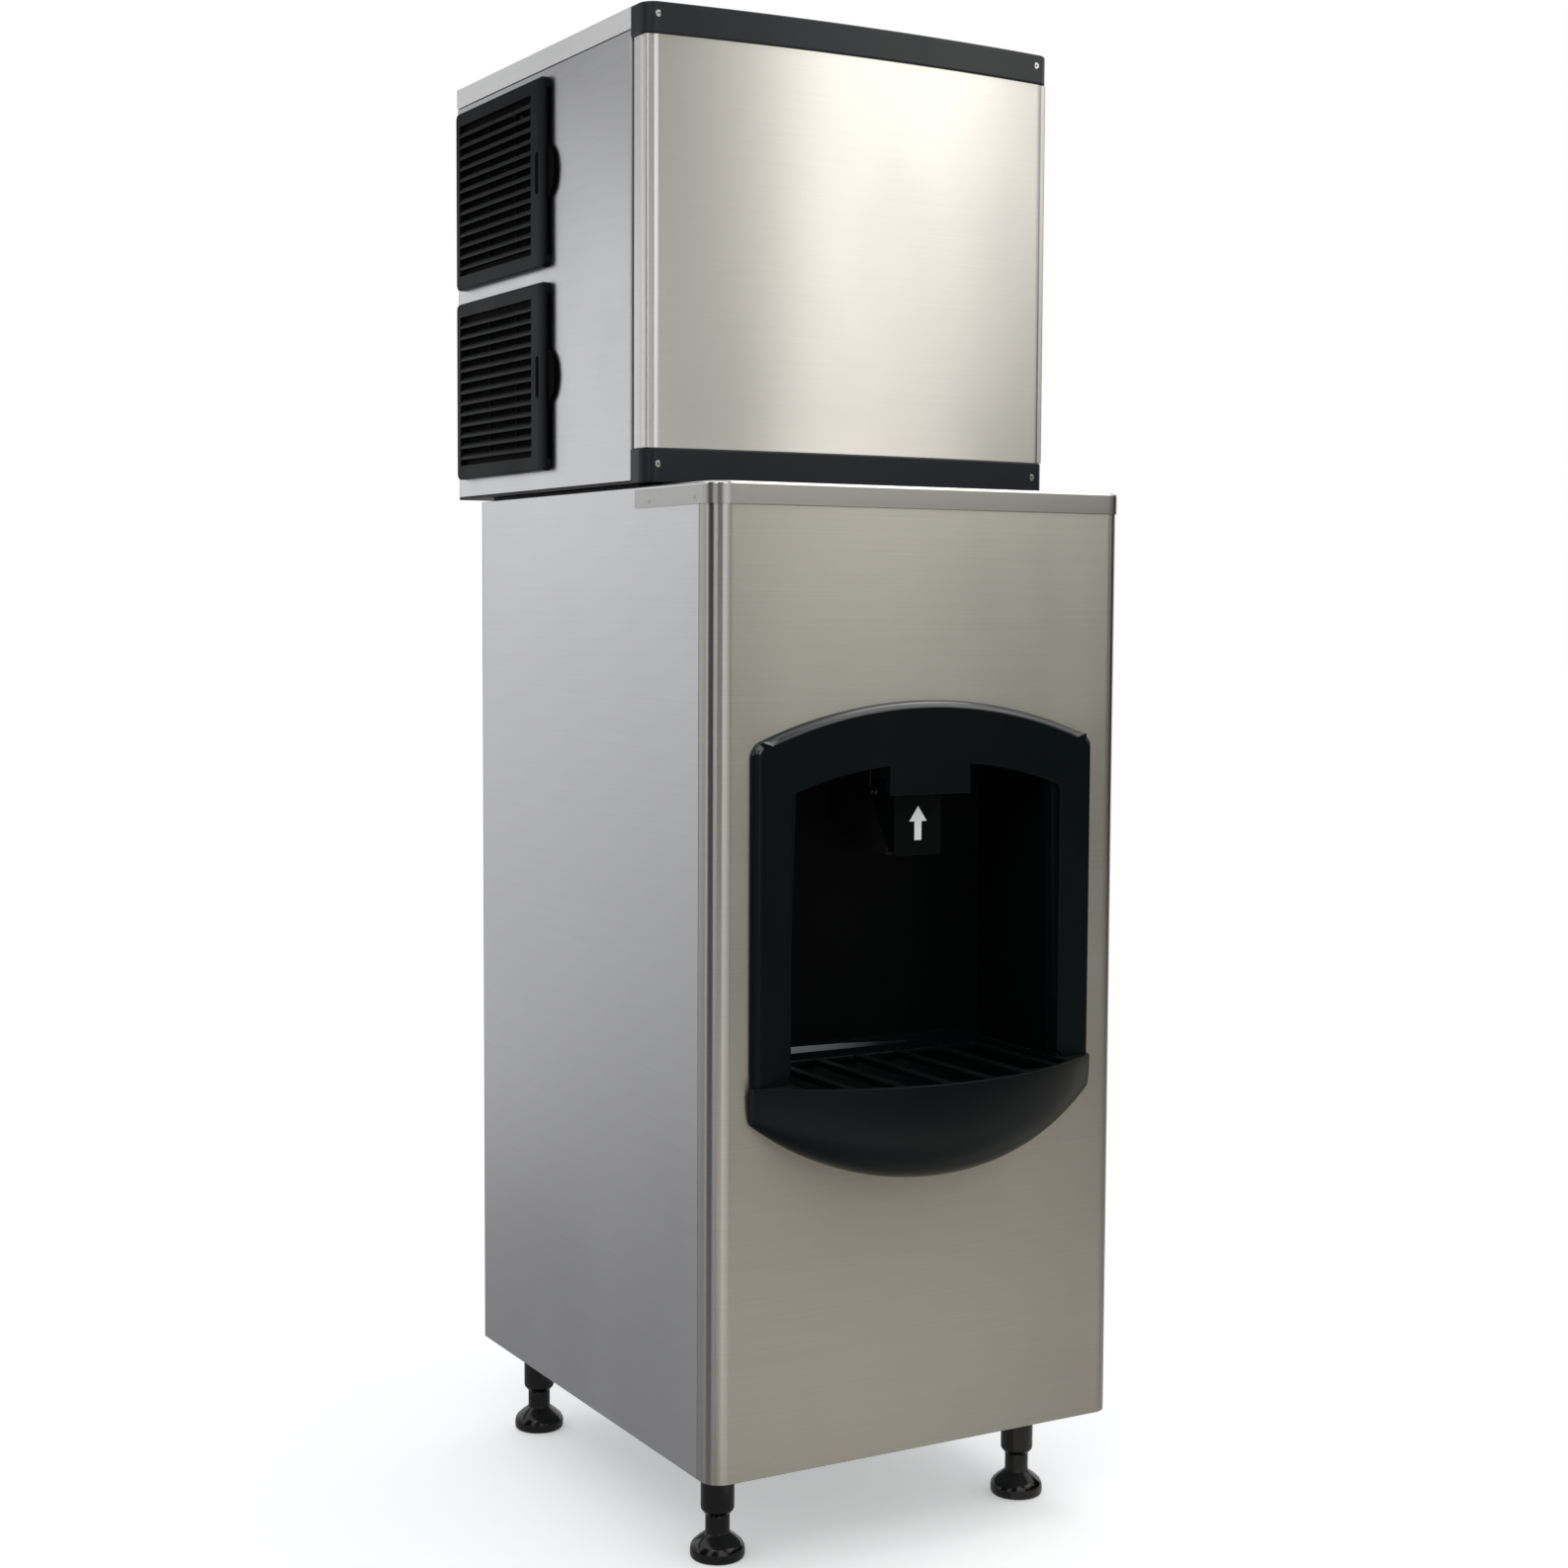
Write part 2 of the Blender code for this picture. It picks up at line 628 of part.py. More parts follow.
def block(low_x, high_x, low_y, high_y, low_z, high_z):
    return prism(rectangle(low_x, high_x, low_y, high_y), "Z", low_z, high_z)


def hollow(bm, normal, wall, depth):
    """Sinks the flat face that looks along the normal, leaving a wall round it."""
    top = max(bm.faces, key=lambda face: (face.normal.dot(normal), face.calc_center_median().dot(normal)))
    bmesh.ops.inset_region(bm, faces=[top], thickness=wall, use_even_offset=True)
    sunk = bmesh.ops.extrude_face_region(bm, geom=[top])
    moved = [item for item in sunk["geom"] if isinstance(item, bmesh.types.BMVert)]
    bmesh.ops.translate(bm, vec=-Vector(normal) * depth, verts=moved)
    if top.is_valid:
        bmesh.ops.delete(bm, geom=[top], context="FACES_ONLY")
    return bm


def turned(profile, centre, axis="Z", steps=ROUND_STEPS, ring=False):
    """Turns (radius, height) points about an axis. A ring's profile is a closed outline off the axis."""
    bm = bmesh.new()
    verts = [bm.verts.new((radius, 0, height)) for radius, height in profile]
    edges = [bm.edges.new(pair) for pair in zip(verts, verts[1:])]
    if ring:
        edges.append(bm.edges.new((verts[-1], verts[0])))
    bmesh.ops.spin(
        bm, geom=verts + edges, cent=(0, 0, 0), axis=(0, 0, 1), angle=FULL_TURN, steps=steps,
        use_merge=True, use_duplicate=False,
    )
    bmesh.ops.remove_doubles(bm, verts=bm.verts[:], dist=MERGE)
    if axis == "X":
        bmesh.ops.rotate(bm, matrix=Matrix.Rotation(QUARTER_TURN, 3, "Y"), verts=bm.verts[:])
    if axis == "Y":
        bmesh.ops.rotate(bm, matrix=Matrix.Rotation(-QUARTER_TURN, 3, "X"), verts=bm.verts[:])
    bmesh.ops.translate(bm, vec=centre, verts=bm.verts[:])
    bmesh.ops.recalc_face_normals(bm, faces=bm.faces[:])
    return bm


def rod(radius, centre, axis, low, high, steps=ROUND_STEPS):
    return turned([(0, low), (radius, low), (radius, high), (0, high)], centre, axis, steps)


def loft(sections):
    """Skins equal closed sections in turn and closes both ends."""
    bm = bmesh.new()
    rings = [[bm.verts.new(point) for point in section] for section in sections]
    for ring, following in zip(rings, rings[1:]):
        for index in range(len(ring)):
            neighbour = (index + 1) % len(ring)
            bm.faces.new((ring[index], ring[neighbour], following[neighbour], following[index]))
    bm.faces.new(rings[0][::-1])
    bm.faces.new(rings[-1])
    bmesh.ops.recalc_face_normals(bm, faces=bm.faces[:])
    return bm


def gather(solids):
    """Several separate solids in one bmesh, for one cut."""
    whole = bmesh.new()
    for solid in solids:
        carrier = bpy.data.meshes.new("carrier")
        solid.to_mesh(carrier)
        solid.free()
        whole.from_mesh(carrier)
        bpy.data.meshes.remove(carrier)
    return whole


# Cabinet

def inner_plan(back, inset=0.0):
    """The plan of a tray that fits inside the front panel's rolled corners."""
    half = INSIDE - inset
    front = FRONT + SHEET + GAP + inset
    radius = CORNER_RADIUS - SHEET - GAP
    corners = [(-half, front), (half, front), (half, back), (-half, back)]
    return fillet(corners, [radius, radius, 0, 0])


def build_legs():
    places = {
        "front_left": (-LEG_SPREAD, FRONT + FRONT_LEG_INSET),
        "front_right": (LEG_SPREAD, FRONT + FRONT_LEG_INSET),
        "rear_left": (-LEG_SPREAD, REAR - REAR_LEG_INSET),
        "rear_right": (LEG_SPREAD, REAR - REAR_LEG_INSET),
    }
    bore = STUD_RADIUS + GAP
    sleeve_top = LEG_HEIGHT - GAP
    sleeve = [
        (bore, SLEEVE_LOW), (NECK_RADIUS, SLEEVE_LOW), (SLEEVE_RADIUS, SLEEVE_LOW + SLEEVE_TAPER),
        (SLEEVE_RADIUS, sleeve_top), (bore, sleeve_top),
    ]
    neck_top = SLEEVE_LOW - GAP
    foot = [
        (0, 0), (FOOT_RADIUS - FOOT_EDGE, 0), (FOOT_RADIUS, FOOT_EDGE),
        (FOOT_RADIUS, FOOT_HEIGHT * FOOT_BULGE_SHARE),
        (FOOT_RADIUS * FOOT_WAIST_SHARE, FOOT_HEIGHT * FOOT_SHOULDER_SHARE),
        (NECK_RADIUS, FOOT_HEIGHT), (NECK_RADIUS, neck_top), (STUD_RADIUS, neck_top),
        (STUD_RADIUS, neck_top + STUD_LENGTH), (0, neck_top + STUD_LENGTH),
    ]
    for corner, (x, y) in places.items():
        add_object(f"leg_sleeve_{corner}", turned(sleeve, (x, y, 0), ring=True), BLACK_GLOSS,
                   (x, y, LEG_HEIGHT), smooth=True)
        add_object(f"levelling_foot_{corner}", turned(foot, (x, y, 0)), BLACK_GLOSS, (x, y, 0), smooth=True)


def build_base_pan():
    pan = prism(inner_plan(PAN_BACK), "Z", LEG_HEIGHT, LEG_HEIGHT + PAN_HEIGHT)
    add_object("cabinet_base_pan", hollow(pan, Vector((0, 0, 1)), SHEET, PAN_HEIGHT - SHEET), GALVANISED)


def build_side_panels():
    inner_end = REAR - SHEET - GAP
    seam = FRONT + WRAP_DEPTH + SEAM
    path = [(HALF, seam), (HALF, inner_end), (HALF - SIDE_RETURN, inner_end)]
    for name, side in (("cabinet_right_panel", 1), ("cabinet_left_panel", -1)):
        outline = [(side * x, y) for x, y in thicken(path, SHEET)]
        add_object(name, prism(outline, "Z", LEG_HEIGHT, DECK_TOP), STAINLESS)


def build_back_panel():
    panel = add_object("cabinet_back_panel", block(-HALF, HALF, REAR - SHEET, REAR, LEG_HEIGHT, DECK_TOP),
                       GALVANISED)
    drain = rod(PIPE_RADIUS + GAP, (0, REAR, PIPE_LOW), "Y", -OVERRUN, OVERRUN)
    gland = rod(GLAND_THREAD + GAP, (GLAND_PLACE, REAR, GLAND_HEIGHT), "Y", -OVERRUN, OVERRUN)
    cut(panel, gather([drain, gland]), "outlets")


def build_front_panel():
    wrap = FRONT + WRAP_DEPTH
    corners = [(-HALF, wrap), (-HALF, FRONT), (HALF, FRONT), (HALF, wrap)]
    path = fillet(corners, [0, CORNER_RADIUS, CORNER_RADIUS, 0], closed=False, steps=CORNER_STEPS + 1)
    panel = add_object("cabinet_front_panel", prism(thicken(path, SHEET), "Z", LEG_HEIGHT, DECK_TOP), STAINLESS)
    cutout = fillet(rectangle(-CUTOUT_HALF, CUTOUT_HALF, LINER_LOW - LINER_WALL - GAP, CUTOUT_TOP),
                    [CUTOUT_CORNER] * 4)
    cut(panel, prism(cutout, "Y", FRONT - OVERRUN, FRONT + SHEET + OVERRUN), "alcove_cutout")


def build_deck():
    tray = prism(inner_plan(PAN_BACK), "Z", DECK_TOP - DECK_FLANGE, DECK_TOP)
    hollow(tray, Vector((0, 0, -1)), SHEET, DECK_FLANGE - SHEET)
    deck = add_object("top_deck", tray, GALVANISED)
    mouth = block(-BIN_MOUTH_HALF, BIN_MOUTH_HALF, FRONT + BIN_MOUTH_FRONT, FRONT + BIN_MOUTH_BACK,
                  DECK_TOP - SHEET - OVERRUN, DECK_TOP + OVERRUN)
    cut(deck, mouth, "bin_mouth")


def build_ledge_cover():
    outer = HALF + GAP + SHEET
    front = FRONT - GAP - SHEET
    back = FRONT + LEDGE_DEPTH
    low = CABINET_TOP - LEDGE_FLANGE
    radius = CORNER_RADIUS + GAP + SHEET
    plan = fillet(rectangle(-outer, outer, front, back + LEDGE_FLANGE), [radius, radius, 0, 0],
                  steps=CORNER_STEPS + 1)
    shell = prism(plan, "Z", low, CABINET_TOP)
    cover = add_object("top_ledge_cover", hollow(shell, Vector((0, 0, -1)), SHEET, LEDGE_FLANGE - SHEET), STAINLESS)
    cut(cover, block(-HALF * 2, HALF * 2, back, back + LEDGE_FLANGE * 2, low - OVERRUN, CABINET_TOP + OVERRUN),
        "open_back")


def build_head_seal():
    outer = rectangle(-HALF + SEAL_INSET, HALF - SEAL_INSET, FRONT + SEAL_FRONT, REAR - SEAL_BACK)
    inner = rectangle(-HALF + SEAL_INSET + SEAL_WIDTH, HALF - SEAL_INSET - SEAL_WIDTH,
                      FRONT + SEAL_FRONT + SEAL_WIDTH, REAR - SEAL_BACK - SEAL_WIDTH)
    seal = add_object("head_seal", prism(outer, "Z", DECK_TOP + GAP, HEAD_LOW - GAP), RUBBER)
    cut(seal, prism(inner, "Z", DECK_TOP - OVERRUN, HEAD_LOW + OVERRUN), "inside")


# Alcove

def arch(half, shoulder, crown, steps=ARCH_STEPS):
    """Points of a shallow arch from right to left."""
    radius = sag(half, crown - shoulder)
    sweep = math.asin(half / radius)
    start = QUARTER_TURN - sweep
    return arc((0, crown - radius), radius, start, start + 2 * sweep, steps)


def bowl_reach(x):
    """How far the lip of the bowl stands in front of the panel."""
    return BOWL_REACH - (BOWL_REACH - BEZEL_PROUD) * (x / BEZEL_HALF) ** 2


def bowl_low(x):
    radius = sag(BEZEL_HALF, BOWL_DEPTH - BOWL_SIDE_DEPTH)
    return LIP_HEIGHT - BOWL_DEPTH + radius - math.sqrt(radius ** 2 - x ** 2)


def bowl_section(x, back):
    """One upright section of the bowl: under, round the belly, up to the lip and back along the rim."""
    reach = bowl_reach(x) - GAP
    drop = LIP_HEIGHT - bowl_low(x)
    power = 2 / BOWL_FULLNESS
    points = []
    for step in range(BOWL_STEPS + 1):
        angle = QUARTER_TURN * step / BOWL_STEPS
        forward = reach * math.sin(angle) ** power
        height = LIP_HEIGHT - drop * max(math.cos(angle), 0) ** power
        points.append((x, back - forward, height if step < BOWL_STEPS else LIP_HEIGHT))
    points.append((x, back, LIP_HEIGHT))
    return points


def lip_plan(half, inset, back):
    """The plan of a hollow that follows the lip at a steady distance."""
    points = []
    for step in range(BOWL_STATIONS + 1):
        x = half * (2 * step / BOWL_STATIONS - 1)
        points.append((x, FRONT - bowl_reach(x) + inset))
    return points + [(half, back), (-half, back)]


def build_bezel():
    low = LIP_HEIGHT + GAP
    outline = [(-BEZEL_HALF, low), (BEZEL_HALF, low)]
    outline += arch(BEZEL_HALF, BEZEL_SHOULDER, BEZEL_CROWN)
    radii = [0, 0, BEZEL_CORNER] + [0] * (ARCH_STEPS - 1) + [BEZEL_CORNER]
    outline = fillet(outline, radii)
    plate = prism(outline, "Y", FRONT - BEZEL_PROUD, FRONT - GAP)
    rim = [
        edge for edge in plate.edges
        if all(abs(vert.co.y - (FRONT - BEZEL_PROUD)) < MERGE for vert in edge.verts)
        and max(vert.co.z for vert in edge.verts) > low + MERGE
    ]
    bmesh.ops.bevel(plate, geom=rim, offset=BEZEL_BEVEL, segments=2, profile=0.5, affect="EDGES",
                    clamp_overlap=True)
    bezel = add_object("alcove_bezel", plate, BLACK_SATIN, smooth=True)
    wall = COLLAR_WALL
    collar = [(-OPENING_HALF - wall, low), (OPENING_HALF + wall, low)]
    collar += arch(OPENING_HALF + wall, OPENING_SHOULDER + wall, OPENING_CROWN + wall)
    join(bezel, prism(collar, "Y", FRONT - BEZEL_PROUD / 2, FRONT + COLLAR_DEPTH), "collar")
    inner = arch(OPENING_HALF, OPENING_SHOULDER, OPENING_CROWN)
    radius = sag(OPENING_HALF, OPENING_CROWN - OPENING_SHOULDER)
    tab_top = OPENING_CROWN - radius + math.sqrt(radius ** 2 - TAB_HALF ** 2)
    right = [point for point in inner if point[0] > TAB_HALF + TAB_CORNER]
    left = [point for point in inner if point[0] < -TAB_HALF - TAB_CORNER]
    floor = low - OVERRUN
    step_high = low + NOTCH_HEIGHT
    opening = [(-OPENING_HALF - NOTCH_WIDTH, floor), (OPENING_HALF + NOTCH_WIDTH, floor),
               (OPENING_HALF, step_high)]
    opening += right + [(TAB_HALF, tab_top), (TAB_HALF, TAB_LOW), (-TAB_HALF, TAB_LOW), (-TAB_HALF, tab_top)] + left
    opening.append((-OPENING_HALF, step_high))
    radii = [0] * len(opening)
    radii[3] = radii[-2] = OPENING_CORNER
    for offset in (1, 2):
        radii[2 + len(right) + offset] = TAB_CORNER
        radii[4 + len(right) + offset - 1] = TAB_CORNER
    cut(bezel, prism(fillet(opening, radii, steps=3), "Y", FRONT - BEZEL_PROUD - OVERRUN,
                     FRONT + COLLAR_DEPTH + OVERRUN), "opening")


def chute_outline(grow, front_extra=0.0, end=CHUTE_END):
    """The chute's passage in side view, grown outward by a wall. Depths are behind the front panel."""
    slant = grow / math.cos(CHUTE_SLOPE)
    rise = math.tan(CHUTE_SLOPE)
    floor_end = MOUTH_HEIGHT + (end - MOUTH_BACK) * rise
    bend = MOUTH_BACK + grow
    ceiling_end = floor_end + CHUTE_CLEAR
    ceiling_knee = end - (ceiling_end - MOUTH_CEILING) / rise
    low = MOUTH_HEIGHT - CHUTE_WALL - front_extra
    points = [
        (MOUTH_FRONT - grow, low), (bend, low), (bend, MOUTH_HEIGHT + grow * rise - slant),
        (end, floor_end - slant), (end, ceiling_end + slant),
        (ceiling_knee - grow * math.tan(CHUTE_SLOPE / 2), MOUTH_CEILING + grow),
        (MOUTH_FRONT - grow, MOUTH_CEILING + grow),
    ]
    if abs(points[2][1] - points[1][1]) < GAP:
        points.pop(2)
    return [(FRONT + depth, height) for depth, height in points]


def build_liner():
    outer = LINER_HALF + LINER_WALL
    back = FRONT + LINER_DEPTH + LINER_WALL
    face = FRONT + SHEET + GAP
    low = LINER_LOW - LINER_WALL
    box = block(-outer, outer, face, back, low, LINER_TOP + LINER_WALL)
    liner = add_object("alcove_liner", box, BLACK_MATT)
    flange = rectangle(-outer - LINER_FLANGE, outer + LINER_FLANGE, low - LINER_FLANGE / 2,
                       LINER_TOP + LINER_WALL + LINER_FLANGE)
    join(liner, prism(flange, "Y", face, face + LINER_WALL), "flange")
    cut(liner, block(-LINER_HALF, LINER_HALF, face - OVERRUN, FRONT + LINER_DEPTH, LINER_LOW, LINER_TOP), "inside")
    cut(liner, prism(chute_outline(CHUTE_WALL + GAP), "X", -CHUTE_HALF - CHUTE_WALL - GAP,
                     CHUTE_HALF + CHUTE_WALL + GAP), "chute_passage")
    cut(liner, rod(SPIGOT_RADIUS + GAP, (0, FRONT + SPIGOT_PLACE, LINER_LOW), "Z", -LINER_WALL - OVERRUN, OVERRUN),
        "drain_hole")


def build_basin():
    sections = []
    for step in range(BOWL_STATIONS + 1):
        x = BEZEL_HALF * (2 * step / BOWL_STATIONS - 1)
        sections.append(bowl_section(x, FRONT - GAP))
    basin = add_object("drip_basin", loft(sections), BLACK_SATIN, smooth=True)
    half = LINER_HALF - TRAY_CLEARANCE
    back = FRONT + LINER_DEPTH - TRAY_CLEARANCE
    tray = block(-half, half, FRONT - BEZEL_PROUD / 2, back, LINER_LOW + GAP, LIP_HEIGHT)
    join(basin, tray, "tray")
    rear_rim = block(-half, half, back - REAR_RIM_WIDTH, back, LIP_HEIGHT - OVERRUN, REAR_RIM_HEIGHT)
    join(basin, rear_rim, "rear_rim")
    spigot = rod(SPIGOT_RADIUS, (0, FRONT + SPIGOT_PLACE, LINER_LOW), "Z", -SPIGOT_DEPTH, OVERRUN)
    join(basin, spigot, "spigot")
    seat = LIP_HEIGHT - GRILLE_DROP - GRILLE_THICKNESS
    inner_back = back - REAR_RIM_WIDTH
    upper = prism(lip_plan(RIM_HALF, RIM_WIDTH, inner_back), "Z", seat, REAR_RIM_HEIGHT + OVERRUN)
    cut(basin, upper, "grille_seat")
    wide = lip_plan(RIM_HALF - SHELF_WIDTH, RIM_WIDTH + SHELF_WIDTH, inner_back - SHELF_WIDTH)
    narrow = lip_plan(RIM_HALF - SHELF_WIDTH - TRAY_DRAFT, RIM_WIDTH + SHELF_WIDTH + TRAY_DRAFT,
                      inner_back - SHELF_WIDTH - TRAY_DRAFT)
    cavity = loft([[(x, y, TRAY_FLOOR) for x, y in narrow], [(x, y, seat + OVERRUN) for x, y in wide]])
    cut(basin, cavity, "hollow")
    cut(basin, rod(SPIGOT_BORE, (0, FRONT + SPIGOT_PLACE, LINER_LOW), "Z", -SPIGOT_DEPTH - OVERRUN,
                   TRAY_FLOOR - LINER_LOW + OVERRUN), "drain_bore")


def build_drip_grille():
    seat = LIP_HEIGHT - GRILLE_DROP - GRILLE_THICKNESS + GAP
    half = RIM_HALF - GRILLE_CLEARANCE
    back = FRONT + LINER_DEPTH - TRAY_CLEARANCE - REAR_RIM_WIDTH - GRILLE_CLEARANCE
    plan = lip_plan(half, RIM_WIDTH + GRILLE_CLEARANCE, back)
    top = seat + GRILLE_THICKNESS - GAP
    grille = add_object("drip_grille", prism(plan, "Z", seat, top), BLACK_SATIN)
    pitch = (2 * (half - GRILLE_BORDER) + GRILLE_BAR) / GRILLE_SLOTS
    slots = []
    for number in range(GRILLE_SLOTS):
        left = -half + GRILLE_BORDER + pitch * number
        right = left + pitch - GRILLE_BAR
        outermost = max(abs(left), abs(right))
        near = FRONT - bowl_reach(outermost) + RIM_WIDTH + GRILLE_CLEARANCE + GRILLE_BORDER
        slots.append(block(left, right, near, back - GRILLE_BORDER, seat - OVERRUN, top + OVERRUN))
    cut(grille, gather(slots), "slots")


# Chute, gate and push lever

def build_chute():
    half = CHUTE_HALF + CHUTE_WALL
    chute = add_object("ice_chute", prism(chute_outline(CHUTE_WALL), "X", -half, half), BLACK_MATT)
    pivot_block = block(-half, half, FRONT + PIVOT_BLOCK_FRONT, FRONT + PIVOT_BLOCK_BACK,
                        MOUTH_CEILING + OVERRUN, LINER_TOP - GAP)
    join(chute, pivot_block, "pivot_block")
    passage = chute_outline(0, OVERRUN, CHUTE_END + OVERRUN)
    cut(chute, prism(passage, "X", -CHUTE_HALF, CHUTE_HALF), "passage")
    cut(chute, rod(PIN_RADIUS + GAP, PIVOT, "X", -half - OVERRUN, half + OVERRUN, SMALL_STEPS), "pin_bore")
    gate_pivot = (0, FRONT + GATE_PIVOT_DEPTH, gate_height())
    cut(chute, rod(GATE_ROD + GAP, gate_pivot, "X", -half - OVERRUN, half + OVERRUN, SMALL_STEPS), "gate_bore")


def gate_height():
    rise = (GATE_PIVOT_DEPTH - MOUTH_BACK) * math.tan(CHUTE_SLOPE)
    return MOUTH_HEIGHT + rise + CHUTE_CLEAR - GATE_DROP


def build_gate():
    y = FRONT + GATE_PIVOT_DEPTH
    z = gate_height()
    half = CHUTE_HALF + CHUTE_WALL
    trunnion = rod(GATE_ROD, (0, y, z), "X", -half - GATE_ROD, half + GATE_ROD, SMALL_STEPS)
    gate = add_object("ice_gate", trunnion, STAINLESS, (0, y, z))
    width = CHUTE_HALF - GATE_SIDE_GAP
    join(gate, block(-width, width, y - GATE_THICKNESS / 2, y + GATE_THICKNESS / 2, z - GATE_LENGTH, z), "flap")


def build_lever():
    inner = CHUTE_HALF + CHUTE_WALL + GAP
    outer = inner + LEVER_SHEET
    face = FRONT + LEVER_PLATE_FRONT
    top = PIVOT.z + LEVER_TOP_RISE
    plate_outline = fillet(rectangle(-outer, outer, LEVER_LOW, top), [LEVER_CORNER, LEVER_CORNER, 0, 0])
    lever = add_object("push_lever", prism(plate_outline, "Y", face, face + LEVER_SHEET), BLACK_SATIN, PIVOT)
    cheek = [
        (face + LEVER_SHEET / 2, LEVER_LOW + LEVER_CORNER), (face + LEVER_CHEEK_FOOT, LEVER_LOW + LEVER_CORNER),
        (PIVOT.y + LEVER_TAIL, PIVOT.z - LEVER_TOP_RISE), (PIVOT.y + LEVER_TAIL, top),
        (face + LEVER_SHEET / 2, top),
    ]
    join(lever, prism(cheek, "X", inner, outer), "right_cheek")
    join(lever, prism(cheek, "X", -outer, -inner), "left_cheek")
    cut(lever, rod(PIN_RADIUS + GAP, PIVOT, "X", -outer - OVERRUN, outer + OVERRUN, SMALL_STEPS), "pin_holes")


def build_lever_pin():
    cheek = CHUTE_HALF + CHUTE_WALL + GAP + LEVER_SHEET
    right = cheek + GAP
    left = cheek + SPRING_PITCH * (SPRING_TURNS + 1) + GAP
    profile = [
        (0, -left - PIN_HEAD), (PIN_HEAD_RADIUS, -left - PIN_HEAD), (PIN_HEAD_RADIUS, -left), (PIN_RADIUS, -left),
        (PIN_RADIUS, right), (PIN_HEAD_RADIUS, right), (PIN_HEAD_RADIUS, right + PIN_HEAD), (0, right + PIN_HEAD),
    ]
    add_object("lever_pin", turned(profile, PIVOT, "X", SMALL_STEPS), STEEL, PIVOT, smooth=True)


def build_lever_spring():
    """A torsion spring round the pin, outside the left cheek, with its free end up against the ceiling."""
    start = -(CHUTE_HALF + CHUTE_WALL + GAP + LEVER_SHEET + SPRING_PITCH / 2)
    points = []
    for step in range(SPRING_TURNS * SPRING_STEPS + 1):
        turn = step / SPRING_STEPS
        angle = FULL_TURN * turn
        points.append(Vector((start - SPRING_PITCH * turn, SPRING_RADIUS * math.cos(angle),
                              SPRING_RADIUS * math.sin(angle))))
    end = points[-1]
    points.append(Vector((end.x, end.y, SPRING_RADIUS)))
    points.append(Vector((end.x, end.y, LINER_TOP - GAP - PIVOT.z)))
    curve = bpy.data.curves.new("lever_spring", "CURVE")
    curve.dimensions = "3D"
    curve.bevel_depth = SPRING_WIRE
    curve.bevel_resolution = 1
    curve.use_fill_caps = True
    spline = curve.splines.new("POLY")
    spline.points.add(len(points) - 1)
    for point, place_in_space in zip(spline.points, points):
        point.co = (*place_in_space, 1)
    obj = bpy.data.objects.new("lever_spring", curve)
    bpy.context.scene.collection.objects.link(obj)
    obj.location = PIVOT
    curve.materials.append(make_material("lever_spring", STEEL))


def build_switch():
    side = CHUTE_HALF + CHUTE_WALL + GAP
    low = PIVOT.z + SWITCH_LIFT
    y = PIVOT.y + PLUNGER_OFFSET
    body = block(side, side + SWITCH_WIDTH, y - SWITCH_DEPTH / 2, y + SWITCH_DEPTH / 2, low, low + SWITCH_HEIGHT)
    switch = add_object("lever_switch", body, BLACK_MATT)
    x = side + LEVER_SHEET / 2
    pocket = PLUNGER_SIZE / 2 + GAP
    cut(switch, block(x - pocket, x + pocket, y - pocket, y + pocket, low - OVERRUN, low + PLUNGER_POCKET), "pocket")
    size = PLUNGER_SIZE / 2
    bottom = PIVOT.z + LEVER_TOP_RISE + GAP
    plunger = block(x - size, x + size, y - size, y + size, bottom, bottom + PLUNGER_LENGTH)
    add_object("switch_plunger", plunger, WHITE_PLASTIC, (x, y, bottom))


# Bin and drive

def trough_outline(grow, top):
    """The bin seen from the front: upright sides, a taper and a round trough about the axle."""
    half = BIN_HALF + grow
    radius = TROUGH_RADIUS + grow
    lower = arc((0, AXLE_HEIGHT), radius, FULL_TURN / 2 + TROUGH_ANGLE, FULL_TURN - TROUGH_ANGLE, ARCH_STEPS)
    return [(-half, top), (-half, BIN_TAPER_TOP)] + lower + [(half, BIN_TAPER_TOP), (half, top)]


def build_bin():
    top = DECK_TOP - SHEET - GAP
    front = FRONT + BIN_FRONT
    back = FRONT + BIN_BACK
    shell = prism(trough_outline(BIN_WALL, top), "Y", front, back)
    ice_bin = add_object("ice_bin", shell, WHITE_PLASTIC)
    rim_half = BIN_HALF + BIN_WALL + BIN_RIM
    join(ice_bin, block(-rim_half, rim_half, front - BIN_RIM, back + BIN_RIM, top - BIN_WALL, top), "rim")
    inside = prism(trough_outline(0, top + OVERRUN), "Y", front + BIN_WALL, back - BIN_WALL)
    cut(ice_bin, inside, "inside")
    passage = prism(chute_outline(0, 0, BIN_FRONT + BIN_WALL + OVERRUN), "X", -CHUTE_HALF, CHUTE_HALF)
    cut(ice_bin, passage, "outlet")
    cut(ice_bin, rod(SHAFT_RADIUS + GAP, AXLE, "Y", -OVERRUN, BIN_BACK - BIN_FRONT - BIN_WALL / 2), "shaft_hole")


def star(centre, count, hub, reach, thickness, sweep=0.0, turn=0.0):
    """A hub with straight arms, as one outline round a centre."""
    points = []
    for number in range(count):
        angle = turn + FULL_TURN * number / count
        along = Vector((math.cos(angle + sweep), math.sin(angle + sweep)))
        across = Vector((-along.y, along.x)) * (thickness / 2)
        root = Vector((math.cos(angle), math.sin(angle))) * hub
        length = math.sqrt(reach ** 2 - thickness ** 2 / 4)
        tip = along * (length - hub)
        points += [root - across, root + tip - across, root + tip + across, root + across]
        middle = angle + FULL_TURN / count / 2
        points.append(Vector((math.cos(middle), math.sin(middle))) * hub)
    return [(centre[0] + point.x, centre[1] + point.y) for point in points]


def shaft_bore():
    return rod(SHAFT_RADIUS + GAP, AXLE, "Y", -OVERRUN, BIN_BACK - BIN_FRONT)


